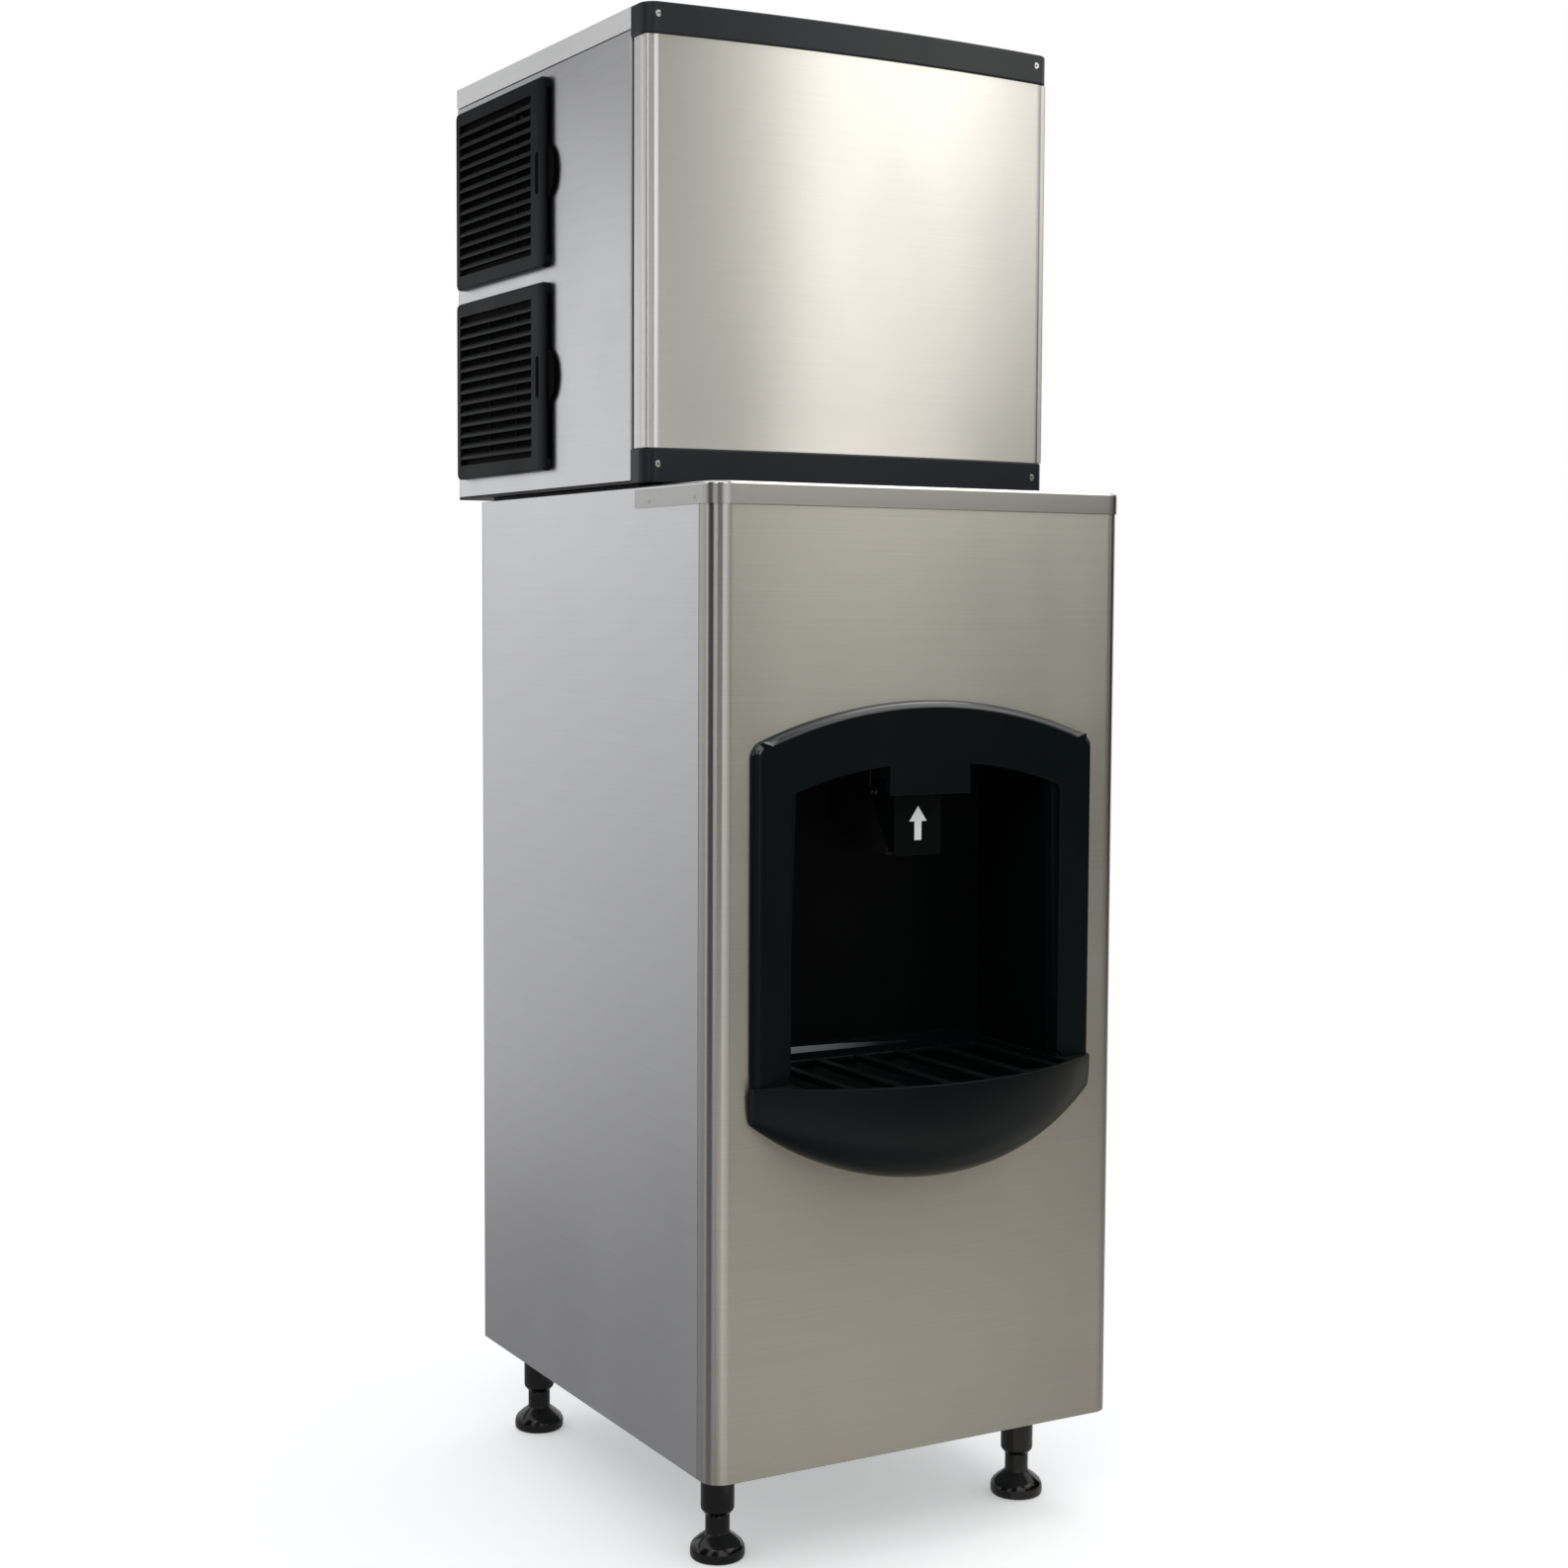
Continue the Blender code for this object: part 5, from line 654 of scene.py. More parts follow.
def make_bezel():
    """The black surround: an arched frame with a broad soft chamfer, open below, and a tab over the lever."""
    low = LIP + GAP
    back = FRONT - GAP
    face = FRONT - BEZEL_PROUD
    outer = [(BEZEL_HALF, low), *arch_line(BEZEL_HALF, BEZEL_SHOULDER, BEZEL_CROWN, 44), (-BEZEL_HALF, low)]
    inner = arch_line(OPENING_HALF, OPENING_SHOULDER, OPENING_CROWN, 40)[::-1]
    radius = arch_radius(OPENING_HALF, OPENING_CROWN - OPENING_SHOULDER)
    tab_top = OPENING_CROWN - radius + math.sqrt(radius ** 2 - TAB_HALF ** 2)
    left = [point for point in inner if point[0] < -TAB_HALF - 0.002]
    right = [point for point in inner if point[0] > TAB_HALF + 0.002]
    foot = low + 0.008
    opening = [(-OPENING_HALF - 0.010, low), (-OPENING_HALF, foot)] + left
    opening += [(-TAB_HALF, tab_top), (-TAB_HALF, TAB_LOW), (TAB_HALF, TAB_LOW), (TAB_HALF, tab_top)]
    opening += right + [(OPENING_HALF, foot), (OPENING_HALF + 0.010, low)]
    plate = slab(outer + opening, "Y", face, back)
    corners = [edge for edge in plate.edges if abs(end_of(edge).x) > BEZEL_HALF - NEAR
               and abs(end_of(edge).z - BEZEL_SHOULDER) < NEAR and runs_back(edge)]
    round_edges(plate, corners, 0.014, 6)
    inside = [edge for edge in plate.edges if abs(end_of(edge).x) < BEZEL_HALF - 0.02
              and abs(end_of(edge).z - OPENING_SHOULDER) < 2 * NEAR and runs_back(edge)]
    round_edges(plate, inside, 0.006, 4)
    chamfer = 0.0092
    outside = [edge for edge in face_edges(plate, face, low) if all(is_outer(vert.co) for vert in edge.verts)]
    round_edges(plate, outside, chamfer, 6, clamp=False)
    round_edges(plate, [edge for edge in face_edges(plate, face, low) if is_sharp(edge)], 0.0012, 3)
    wall = 0.003
    side = OPENING_HALF + wall
    ring = [(side, low), (side, OPENING_SHOULDER)]
    ring += arch_line(side, OPENING_SHOULDER + wall, OPENING_CROWN + wall, 40)[1:-1]
    ring += [(-side, OPENING_SHOULDER), (-side, low), (-OPENING_HALF, low), (-OPENING_HALF, foot)]
    ring += inner[1:-1] + [(OPENING_HALF, foot), (OPENING_HALF, low)]
    collar = slab(ring, "Y", back - 0.002, FRONT + 0.012)
    bmesh.ops.dissolve_degenerate(plate, dist=HAIR / 10, edges=plate.edges[:])
    bezel = finish_node("alcove_bezel", gathered([plate, collar]), bezel_black, sharp=30)
    # The upward faces of the outer chamfer take the paler copy of the black, which paints a highlight on them
    finish_faces(bezel, rim_highlight_black, lambda polygon: polygon.normal.z > 0.10 and polygon.normal.y < -0.04
                 and is_outer(polygon.center, 0.0100))


def face_edges(plate, face, low):
    """The edges of the surround's flat face, without its foot."""
    return [edge for edge in edges_where(plate, lambda point: abs(point.y - face) < HAIR)
            if max(vert.co.z for vert in edge.verts) > low + HAIR]


def is_outer(point, depth=0.002):
    """True near the outside edge of the surround, false on its opening."""
    radius = arch_radius(BEZEL_HALF, BEZEL_CROWN - BEZEL_SHOULDER)
    from_centre = math.hypot(point.x, point.z - (BEZEL_CROWN - radius))
    return abs(point.x) > BEZEL_HALF - 0.016 or from_centre > radius - depth


def bowl_reach(x):
    return BOWL_REACH - (BOWL_REACH - BEZEL_PROUD) * (x / BEZEL_HALF) ** 2


def bowl_low(x):
    radius = arch_radius(BEZEL_HALF, BOWL_DEPTH - BOWL_SIDE_DEPTH)
    return LIP - BOWL_DEPTH + radius - math.sqrt(radius ** 2 - x ** 2)


def lip_plan(half, inset, back, steps=60):
    """The plan of a hollow that follows the lip at a steady distance."""
    places = [half * (2 * step / steps - 1) for step in range(steps + 1)]
    return [(x, FRONT - bowl_reach(x) + inset) for x in places] + [(half, back), (-half, back)]


def make_basin():
    """The bulging drip bowl, drawn section by section, with its grille seat, its tray and its spigot."""
    stations = 72
    steps = 26
    power = 2 / BOWL_FULLNESS
    bm = bmesh.new()
    face = None
    for station in range(stations + 1):
        x = BEZEL_HALF * (2 * station / stations - 1)
        drop = LIP - bowl_low(x)
        reach = bowl_reach(x) - GAP
        places = [(x, FRONT - GAP - reach * math.sin(QUARTER * step / steps) ** power,
                   LIP - drop * math.cos(QUARTER * step / steps) ** power) for step in range(steps)]
        places += [(x, FRONT - GAP - reach, LIP), (x, FRONT - GAP, LIP)]
        if face is None:
            face = bm.faces.new([bm.verts.new(place) for place in places])
            continue
        pushed = bmesh.ops.extrude_face_region(bm, geom=[face], use_keep_orig=station == 1)
        following = next(item for item in pushed["geom"] if isinstance(item, bmesh.types.BMFace))
        for vert, place in zip(following.verts, places):
            vert.co = place
        if station > 1 and face.is_valid:
            bmesh.ops.delete(bm, geom=[face], context="FACES_ONLY")
        face = following
    bmesh.ops.recalc_face_normals(bm, faces=bm.faces[:])
    play = 0.0005
    half = LINER_HALF - play
    back = FRONT + LINER_DEPTH - play
    inner_back = back - 0.009
    seat = LIP - 0.014
    step_back = FRONT + 0.004
    tray = slab([(FRONT - 0.005, LIP), (FRONT - 0.005, LINER_LOW + 0.014), (step_back, LINER_LOW + 0.014),
                 (step_back, LINER_LOW + GAP), (back, LINER_LOW + GAP), (back, LIP)], "X", -half, half)
    rim = box((-half, inner_back, LIP - 0.010), (half, back, LIP + 0.010))
    upper = slab(lip_plan(0.181, 0.007, inner_back), "Z", seat, LIP + 0.014)
    mouth_half, foot_half = 0.175, 0.167
    draft = 0.008
    hollow = slab(lip_plan(mouth_half, 0.013, inner_back - 0.006), "Z", LINER_LOW + 0.026, seat + 0.001)
    for vert in hollow.verts:
        if vert.co.z < seat:
            vert.co.x *= foot_half / mouth_half
            vert.co.y += draft if vert.co.y < FRONT else -draft
    drain_place = (0, FRONT + 0.100, LINER_LOW)
    drain = turned([(0, -0.05), (0.008, -0.05), (0.008, 0.05), (0, 0.05)], drain_place)
    bowl = carved(bm, [upper, hollow, drain], joined=[tray, rim])
    lip = [edge for edge in edges_where(bowl, lambda point: abs(point.z - LIP) < NEAR) if is_sharp(edge, 0.9)
           and max(vert.co.y for vert in edge.verts) < FRONT - GAP - NEAR]
    round_edges(bowl, lip, 0.0014, 3)
    spigot = turned([(0.008, -0.030), (0.0105, -0.030), (0.011, -0.0295), (0.011, -0.024), (0.0103, -0.0235),
                     (0.0103, -0.020), (0.011, -0.0195), (0.011, 0.002), (0.008, 0.002), (0.008, -0.030)],
                    drain_place)
    finish_node("drip_basin", gathered([bowl, spigot]), bowl_black, sharp=30)


def make_alcove():
    # The liner takes the black that is darkened as painted shade of the alcove
    dress("alcove_liner", black_liner_painted_shade, 0.0012, 3)
    dress("drip_grille", bezel_black, 0.0016, 3)
    dress("ice_chute", part_black, 0.0008)
    dress("ice_gate", bright_steel, 0.0005)
    dress("lever_switch", part_black, 0.0008)
    paint("switch_plunger", food_white)
    # The spring and pin take the dark copy of the steel as painted shade
    paint("lever_spring", shaded_spring_steel)
    dress("lever_pin", shaded_spring_steel, 0.0003)
    # A thin strip on the tray's rear rim whose colour is painted light at its left end and painted shade to
    # the right
    back = FRONT + LINER_DEPTH - 0.0095
    left = -LINER_HALF + 0.0015
    strip = slab([(left, LIP), (0.080, LIP), (0.075, LIP + 0.0028), (-0.02, LIP + 0.0070),
                  (left, LIP + 0.0095)], "Y", back - 0.0010, back)
    add_piece("alcove_rear_painted_light", strip, strip_painted_light, slot="drip_basin", bevel=0.0003)
    left = -LINER_HALF + 0.0004
    near, far = FRONT + 0.014, FRONT + 0.050
    top, low = LINER_TOP - 0.001, LINER_TOP - 0.034
    gusset = slab([(near, top), (near, low), (FRONT + 0.026, low), (far, LINER_TOP - 0.012), (far, top)],
                  "X", left, left + 0.002)
    foot = box((left, near, LINER_TOP - 0.003), (-LINER_HALF + 0.020, far, top))
    add_piece("alcove_corner_gusset", gathered([gusset, foot]), zinc, slot="alcove_liner", bevel=0.0004)


def make_lever():
    """The push lever with its face plate, softly rounded, and a plain arrow on the face."""
    # The lever takes the black that is darkened as painted shade of the alcove
    dress("push_lever", black_liner_painted_shade, 0.0009, 3)
    face = FRONT + 0.017
    shaft, head = 0.0048, 0.0120
    tip = PIVOT_HEIGHT - 0.016
    foot, neck = tip - 0.040, tip - 0.018
    arrow = [(-shaft, foot), (shaft, foot), (shaft, neck), (head, neck), (0, tip), (-head, neck),
             (-shaft, neck)]
    add_piece("lever_arrow", slab(arrow, "Y", face - 0.0002, face + 0.0002), mark_white, body="lever",
              slot="switch_plunger")


# Ice-making head shell

def bowed_front(share, offset):
    """How far forward the head's bowed front lies at a share of its half width."""
    return HEAD_FRONT - offset - BOW * (1 - share ** 2)


def bowed_line(offset, end, steps=32):
    """The head's bowed front in plan, from the left wrap to the right wrap."""
    side = HALF + offset
    shares = [2 * step / steps - 1 for step in range(steps + 1)]
    return [(-side, end)] + [(side * share, bowed_front(share, offset)) for share in shares] + [(side, end)]


def bowed_band(offset, depth, low, high, corner, rounding, end=HEAD_SEAM):
    """A band that follows the bowed front, with rounded corners and softened long edges."""
    front = bowed_line(offset, end)
    back = bowed_line(offset - depth, end)[::-1]
    bm = slab(front + back, "Z", low, high)
    side = HALF + offset
    for place, width, segments in ((side, corner, 8), (side - depth, max(corner - depth, 0.001), 4)):
        corners = [edge for edge in bm.edges if is_upright(edge) and end_of(edge).y < HEAD_SEAM - 0.01
                   and abs(abs(end_of(edge).x) - place) < NEAR]
        round_edges(bm, corners, width, segments)
    bmesh.ops.remove_doubles(bm, verts=bm.verts[:], dist=HAIR)
    if rounding:
        rim = [edge for edge in edges_where(bm, lambda point: is_on_front(point, offset, corner))
               if is_sharp(edge) and not is_upright(edge, HAIR)]
        round_edges(bm, rim, rounding, 4)
    return bm


def is_on_front(point, offset, corner):
    """True on the outer skin of a bowed band."""
    side = HALF + offset
    line = bowed_front(min(abs(point.x) / side, 1), offset)
    across = abs(point.x) - side + corner
    along = point.y - HEAD_FRONT + offset - corner
    return point.y < line + 0.0008 or abs(point.x) > side - 0.0004 or (
        across > 0 and along < 0 and math.hypot(across, along) > corner - 0.0016)


def side_uprights(bm):
    """The long upright edges at a side of the head."""
    return [edge for edge in bm.edges if is_upright(edge, 0.1) and abs(end_of(edge).x) > HALF - 0.002]


def make_head_shell():
    """The head's bowed front, its two trims, its side panels with their joint strips, and its top cover."""
    panel = bowed_band(0, SHEET, HEAD_LOW + LOW_TRIM + GAP, HEAD_TOP - TOP_TRIM - GAP, HEAD_CORNER, 0,
                       HEAD_SEAM - HEAD_JOINT)
    # The bowed front takes the paler copy of the steel, which paints light on it
    finish_node("head_front_panel", panel, lit_head_steel, sharp=30)
    # The top trim takes the glossier copy with painted shade in its colour
    for node, low, high, finish in (("head_top_trim", HEAD_TOP - TOP_TRIM, HEAD_TOP, shaded_glossy_trim),
                                    ("head_bottom_trim", HEAD_LOW, HEAD_LOW + LOW_TRIM, trim_charcoal)):
        trim = bowed_band(TRIM_PROUD, TRIM_DEPTH, low, high, HEAD_CORNER + TRIM_PROUD, TRIM_EDGE)
        finish_node(node, trim, finish, sharp=30)
    for node in ("head_left_panel", "head_right_panel"):
        sheet = node_copy(node)
        bend = [edge for edge in side_uprights(sheet) if end_of(edge).y < HEAD_SEAM + 0.0055]
        outer = [edge for edge in bend if abs(end_of(edge).x) > HALF - 0.0005]
        inner = [edge for edge in bend if edge not in outer]
        round_edges(sheet, outer, 0.0022, 5)
        round_edges(sheet, inner, 0.0010, 5)
        finish_node(node, sheet, steel_side, recalc=False)
    for side, label in ((-1, "left"), (1, "right")):
        near, far = sorted((side * (HALF - 0.0110), side * (HALF - 0.0014)))
        strip = box((near, HEAD_SEAM - 0.0080, HEAD_LOW + LOW_TRIM + 2 * GAP),
                    (far, HEAD_SEAM + 0.0038, HEAD_TOP - TOP_TRIM - 2 * GAP))
        round_edges(strip, side_uprights(strip), 0.0006, 3)
        add_piece(f"head_joint_strip_{label}", strip, seal_rubber, slot="head_seal")
    # The flanges of the cover lean in towards the top
    lid = node_copy("head_top_cover")
    for vert in lid.verts:
        if abs(vert.co.x) > HALF - 0.004:
            low = vert.co.z < HEAD_TOP - 0.010
            vert.co.x += math.copysign(0.0012 if low else -0.0016, vert.co.x)
    # The cover's flanges take the paler copy of the steel, which paints light on them
    cover = finish_node("head_top_cover", lid, lit_flange_steel, bevel=0.0006, recalc=False)
    finish_faces(cover, steel_top, lambda polygon: polygon.normal.z > 0.98)
    dress("head_back_panel", zinc, 0.0003)
    dress("head_base", part_black, 0.0004)


# Grilles and filters

def rounded_plate(low_x, high_x, low_y, high_y, low_z, high_z, corner):
    """A plate lying on the side of the machine with its four corners rounded in side view."""
    bm = box((low_x, low_y, low_z), (high_x, high_y, high_z))
    corners = [edge for edge in bm.edges if run_of(edge).x > NEAR]
    return round_edges(bm, corners, corner, 6)


def make_grille(level):
    """A louvred cover: a rounded frame that rolls away at its front edge, with thirteen slanted slats."""
    middle = GRILLE_CENTRES[level]
    face = -HALF - GRILLE_PROUD
    low_z, high_z = middle - GRILLE_HALF, middle + GRILLE_HALF
    frame_plate = rounded_plate(face, -HALF - GAP, GRILLE_FRONT, GRILLE_REAR, low_z, high_z, 0.008)
    edge_round = 0.003
    rim = edges_where(frame_plate, lambda point: abs(point.x - face) < HAIR)
    round_edges(frame_plate, rim, edge_round, 4)
    window_half = LOUVRE_HALF - 0.003
    behind = -HALF + 0.01
    window = box((face - 0.01, LOUVRE_FRONT, middle - window_half),
                 (behind, LOUVRE_REAR, middle + window_half))
    slot = box((face + GRILLE_FACE, GRILLE_FRONT - 0.01, middle - FILTER_HALF - GAP),
               (behind, FILTER_REAR + GAP, middle + FILTER_HALF + GAP))
    roll = []
    roll_length = 0.020
    steps = 8
    for step in range(steps + 1):
        roll.append((face + edge_round * (1 - math.sin(QUARTER * step / steps)),
                     GRILLE_FRONT + roll_length * (1 - math.cos(QUARTER * step / steps))))
    shave = slab([(face - 0.002, GRILLE_FRONT - 0.002), (face + edge_round, GRILLE_FRONT - 0.002)] + roll
                 + [(face - 0.002, GRILLE_FRONT + roll_length)], "Z", low_z - 0.01, high_z + 0.01)
    groove = rounded_plate(face - 0.004, face + 0.0025, GRILLE_FRONT + 0.015, GRILLE_FRONT + 0.025,
                           middle - 0.026, middle + 0.026, 0.0045)
    round_edges(groove, edges_where(groove, lambda point: point.x > face), 0.0015, 3)
    frame_plate = carved(frame_plate, [window, slot, shave, groove])
    slats = []
    pitch = 2 * LOUVRE_HALF / LOUVRES
    for number in range(1, LOUVRES):
        height = middle - LOUVRE_HALF + pitch * number
        outer = face + 0.0002
        inner = face + GRILLE_FACE - 0.0001
        slat = slab([(outer, height - 0.00425), (outer, height + 0.00025), (inner, height + 0.00425),
                     (inner, height - 0.00025)], "Y", LOUVRE_FRONT - 0.001, LOUVRE_REAR + 0.001)
        nose = [edge for edge in edges_where(slat, lambda point: point.x < face + 0.001)
                if run_of(edge).y > 0.1]
        round_edges(slat, nose, 0.0012, 3)
        slats.append(slat)
    finish_node(f"{level}_air_grille", gathered([frame_plate] + slats), grille_black, sharp=30)


def make_filter(level):
    """The washable filter: the node's frame with its finger tab, and a woven screen in its windows."""
    node = f"{level}_air_filter"
    low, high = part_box(node)
    middle = GRILLE_CENTRES[level]
    centre = (low[0] + high[0]) / 2
    wires = []
    mesh_pitch = 0.0025
    wire_half = 0.0005
    y = FILTER_FRONT + 0.012
    while y < FILTER_REAR - 0.012:
        wires.append(box((centre - 0.0004, y - wire_half, middle - FILTER_HALF + 0.010),
                         (centre + 0.0002, y + wire_half, middle + FILTER_HALF - 0.010)))
        y += mesh_pitch
    z = middle - FILTER_HALF + 0.012
    while z < middle + FILTER_HALF - 0.012:
        wires.append(box((centre - 0.0002, FILTER_FRONT + 0.010, z - wire_half),
                         (centre + 0.0004, FILTER_REAR - 0.010, z + wire_half)))
        z += mesh_pitch
    ribs = []
    for number in range(4):
        back = FILTER_FRONT - 0.004 - 0.0035 * number
        reach = 0.023 - 0.004 * number
        ribs.append(box((low[0] - NEAR, back, middle - reach),
                        (low[0] + 0.0012, back + 0.0012, middle + reach)))
    finish_node(node, gathered([node_copy(node)] + ribs), filter_black, bevel=0.0004)
    add_piece(f"{level}_filter_screen", gathered(wires), filter_black, body=f"{level}_filter", slot=node)


# Fasteners and fittings

def screw_mould():
    """One low flat-head screw looking along +Z, with a cross recess."""
    head = turned([(0, -0.0024), (0.0016, -0.0024), (0.0016, -0.0010), (0.0040, -0.0004), (0.0040, 0),
                   (0.0037, 0.00022), (0.0024, 0.00025), (0, 0.00025)], (0, 0, 0), steps=20)
    recess = []
    for turn in (0, QUARTER):
        bar = box((-0.0020, -0.0004, -0.0010), (0.0020, 0.0004, 0.0040))
        rotate(bar, turn, "Z")
        recess.append(bar)
    return carved(head, recess)


def place_screws(name, places):
    """Copies of the screw at places, each with the direction that its head looks in."""
    template = mesh_of("screw_template", screw_mould())
    screws = []
    first_turn, next_turn = 0.5, 1.3
    for number, (place, direction) in enumerate(places):
        screw = bmesh.new()
        screw.from_mesh(template)
        turn = Matrix.Rotation(first_turn + next_turn * number, 4, "Z")
        aim = Vector(direction).to_track_quat("Z", "Y").to_matrix().to_4x4()
        bmesh.ops.transform(screw, matrix=Matrix.Translation(place) @ aim @ turn, verts=screw.verts[:])
        screws.append(screw)
    bpy.data.meshes.remove(template)
    add_piece(name, gathered(screws), screw_steel, slot="lever_pin", sharp=30)


def make_screws():
    trim_half = HALF + TRIM_PROUD
    place_screws("trim_screws", [((x, bowed_front(x / trim_half, TRIM_PROUD), z), (0, -1, 0))
                                 for x in (-0.2655, 0.2590) for z in (1.786, 1.2776)])
    place_screws("ledge_screws", [((side * (HALF + GAP + SHEET), FRONT + depth, 1.2345), (side, 0, 0))
                                  for side in (-1, 1) for depth in (0.043, 0.155)])
    cabinet_back = [(x, z) for x in (-0.268, 0.268) for z in (0.16, 0.42, 0.69, 0.96, 1.22)]
    cabinet_back += [(x, 0.140) for x in (-0.13, 0.13)]
    head_back = [(x, z) for x in (-0.270, 0.270) for z in (1.275, 1.44, 1.60, 1.745)]
    head_back += [(x, z) for x in (-0.09, 0.09) for z in (1.275, 1.745)]
    cover = [(x, HEAD_TOP - 0.013) for x in (-0.24, 0, 0.24)]
    for name, face, places in (("cabinet_back_screws", REAR, cabinet_back),
                               ("head_back_screws", HEAD_REAR - 0.0002, head_back),
                               ("top_cover_screws", HEAD_REAR - 0.0002, cover)):
        place_screws(name, [((x, face, z), (0, 1, 0)) for x, z in places])


def make_services():
    """Fittings on the back and everything held inside the two housings."""
    # The condenser's near-black fins are partly a black coating and partly painted shade
    for node, finish in (
            ("ice_bin", food_white), ("dispense_wheel", food_white), ("agitator", bright_steel),
            ("drive_shaft", bright_steel), ("gear_motor", motor_grey), ("dispenser_control_box", zinc),
            ("drain_pipe", food_white), ("condenser", black_fins_painted_shade), ("fan_shroud", part_black),
            ("fan_blade", part_black), ("fan_motor", motor_grey), ("compressor", enamel_black),
            ("head_partition", zinc), ("evaporator_frame", food_white), ("evaporator", bright_steel),
            ("water_curtain", food_white), ("water_trough", food_white), ("water_pump", motor_grey),
            ("head_control_box", zinc)):
        dress(node, finish, 0.0005)
    x, _, z = middle_of(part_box("power_gland"))
    gland = [(0.004, -0.0112), (0.0100, -0.0112), (0.0105, -0.0105), (0.0105, GAP), (0.0140, GAP)]
    gland += [(0.0140, 0.0110), (0.0125, 0.0135), (0.0115, 0.0200), (0.0095, 0.0218), (0.0060, 0.0220),
              (0.0040, 0.0205), (0.004, -0.0112)]
    ribs = []
    for number in range(24):
        rib = box((0.0136, -0.0006, 0.0010), (0.0140, 0.0006, 0.0105))
        rotate(rib, FULL_TURN * number / 24, "Z")
        rotate(rib, -QUARTER, "X")
        bmesh.ops.translate(rib, vec=(x, REAR, z), verts=rib.verts[:])
        ribs.append(rib)
    finish_node("power_gland", gathered([turned(gland, (x, REAR, z), "Y")] + ribs), part_black, sharp=30)
    x, _, z = middle_of(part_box("water_inlet"))
    inlet = [(0.005, -0.0175), (0.0150, -0.0175), (0.0160, -0.0165), (0.0160, -0.0024), (0.0152, -0.0015),
             (0.0100, -0.0015), (0.0100, -0.0004), (0.0096, -0.0002), (0.0062, -0.0002), (0.0050, -0.0012),
             (0.0050, -0.0175)]
    finish_node("water_inlet", turned(inlet, (x, HEAD_REAR, z), "Y"), fitting_brass, sharp=30)


# Stage, light and camera

def seen_plainly(tree):
    """One for camera, glossy and transmission rays, and zero for the others."""
    path = add_node(tree, "ShaderNodeLightPath")
    seen = maths(tree, "MAXIMUM", path.outputs["Is Camera Ray"], path.outputs["Is Glossy Ray"])
    return maths(tree, "MAXIMUM", seen, path.outputs["Is Transmission Ray"])


def make_stage():
    bm = bmesh.new()
    bmesh.ops.create_grid(bm, x_segments=1, y_segments=1, size=30)
    floor = placed("studio_floor", mesh_of("studio_floor", bm))
    material, tree, shader = new_material("pale_floor")
    feed(tree, shader, Base_Color=(0.93, 0.93, 0.93, 1), Roughness=0.95, Specular_IOR_Level=0.1,
         Emission_Color=(1, 1, 1, 1), Emission_Strength=maths(tree, "MULTIPLY", seen_plainly(tree), 0.30))
    floor.data.materials.append(material)


def reflection_card(name, corners, tint, rows):
    """A flat card that only reflections see. Its corners run low left, low right, high right, high left.
    Each row has its height share and its shades from left to right, or one shade."""
    bm = bmesh.new()
    face = bm.faces.new([bm.verts.new(corner) for corner in corners])
    layer = bm.loops.layers.uv.new("card")
    for loop, place in zip(face.loops, ((0, 0), (1, 0), (1, 1), (0, 1))):
        loop[layer].uv = place
    card = placed(name, mesh_of(name, bm))
    material = bpy.data.materials.new(name)
    material.use_nodes = True
    tree = material.node_tree
    tree.nodes.clear()
    where = add_node(tree, "ShaderNodeUVMap", uv_map="card")
    axes = add_node(tree, "ShaderNodeSeparateXYZ", [(0, where.outputs[0])])
    level = None
    last = 0
    for height, shades in rows:
        row = card_row(tree, axes.outputs[0], shades)
        if level is None:
            level = row
        else:
            share = ranged(tree, axes.outputs[1], 0.0, 1.0, last, height, interpolation_type="SMOOTHSTEP")
            level = add_node(tree, "ShaderNodeMix", [(0, share), (2, level), (3, row)]).outputs[0]
        last = height
    doubled = maths(tree, "MULTIPLY", level, 2.0)
    glow = add_node(tree, "ShaderNodeEmission", [("Color", (*tint, 1)), ("Strength", doubled)])
    add_node(tree, "ShaderNodeOutputMaterial", [(0, glow.outputs[0])])
    card.data.materials.append(material)
    for kind in ("camera", "diffuse", "transmission", "volume_scatter", "shadow"):
        setattr(card, f"visible_{kind}", False)


def card_row(tree, across, shades):
    """The shade across one row of a card. The card's glow doubles it, so a half is white."""
    if not isinstance(shades, tuple):
        return maths(tree, "ADD", shades, 0.0)
    ramp = add_node(tree, "ShaderNodeValToRGB", [(0, across)])
    ramp.color_ramp.interpolation = "EASE"
    while len(ramp.color_ramp.elements) < len(shades):
        ramp.color_ramp.elements.new(0.5)
    # The stops take their places first, because a move can change their order
    for element, (place, shade) in zip(ramp.color_ramp.elements, shades):
        element.position = place
    for element, (place, shade) in zip(ramp.color_ramp.elements, shades):
        element.color = (shade, shade, shade, 1)
    return ramp.outputs[0]


def wall_card(name, azimuths, heights, distance, tint, *rows):
    """An upright card seen from the machine between two azimuths. Azimuth 0 is straight in front."""
    left, right = [(math.sin(math.radians(angle)) * distance, -math.cos(math.radians(angle)) * distance)
                   for angle in azimuths]
    low, high = heights
    reflection_card(name, [(*left, low), (*right, low), (*right, high), (*left, high)], tint, rows)


def floor_card(name, azimuth, near, far, half, lift, tint, *rows):
    """A level card just above the floor that runs away from the machine in one direction."""
    along = Vector((math.sin(math.radians(azimuth)), -math.cos(math.radians(azimuth)), 0))
    side = Vector((along.y, -along.x, 0)) * half
    raised = Vector((0, 0, lift))
    corners = [along * near - side + raised, along * near + side + raised, along * far + side + raised,
               along * far - side + raised]
    reflection_card(name, corners, tint, rows)


def soft_lamp(name, place, target, size, power, colour=(1, 1, 1)):
    lamp = bpy.data.lights.new(name, "AREA")
    lamp.shape = "RECTANGLE"
    lamp.size = lamp.size_y = size
    lamp.energy = power
    lamp.color = colour
    holder = placed(name, lamp)
    holder.location = place
    holder.rotation_euler = (Vector(target) - Vector(place)).to_track_quat("-Z", "Y").to_euler()


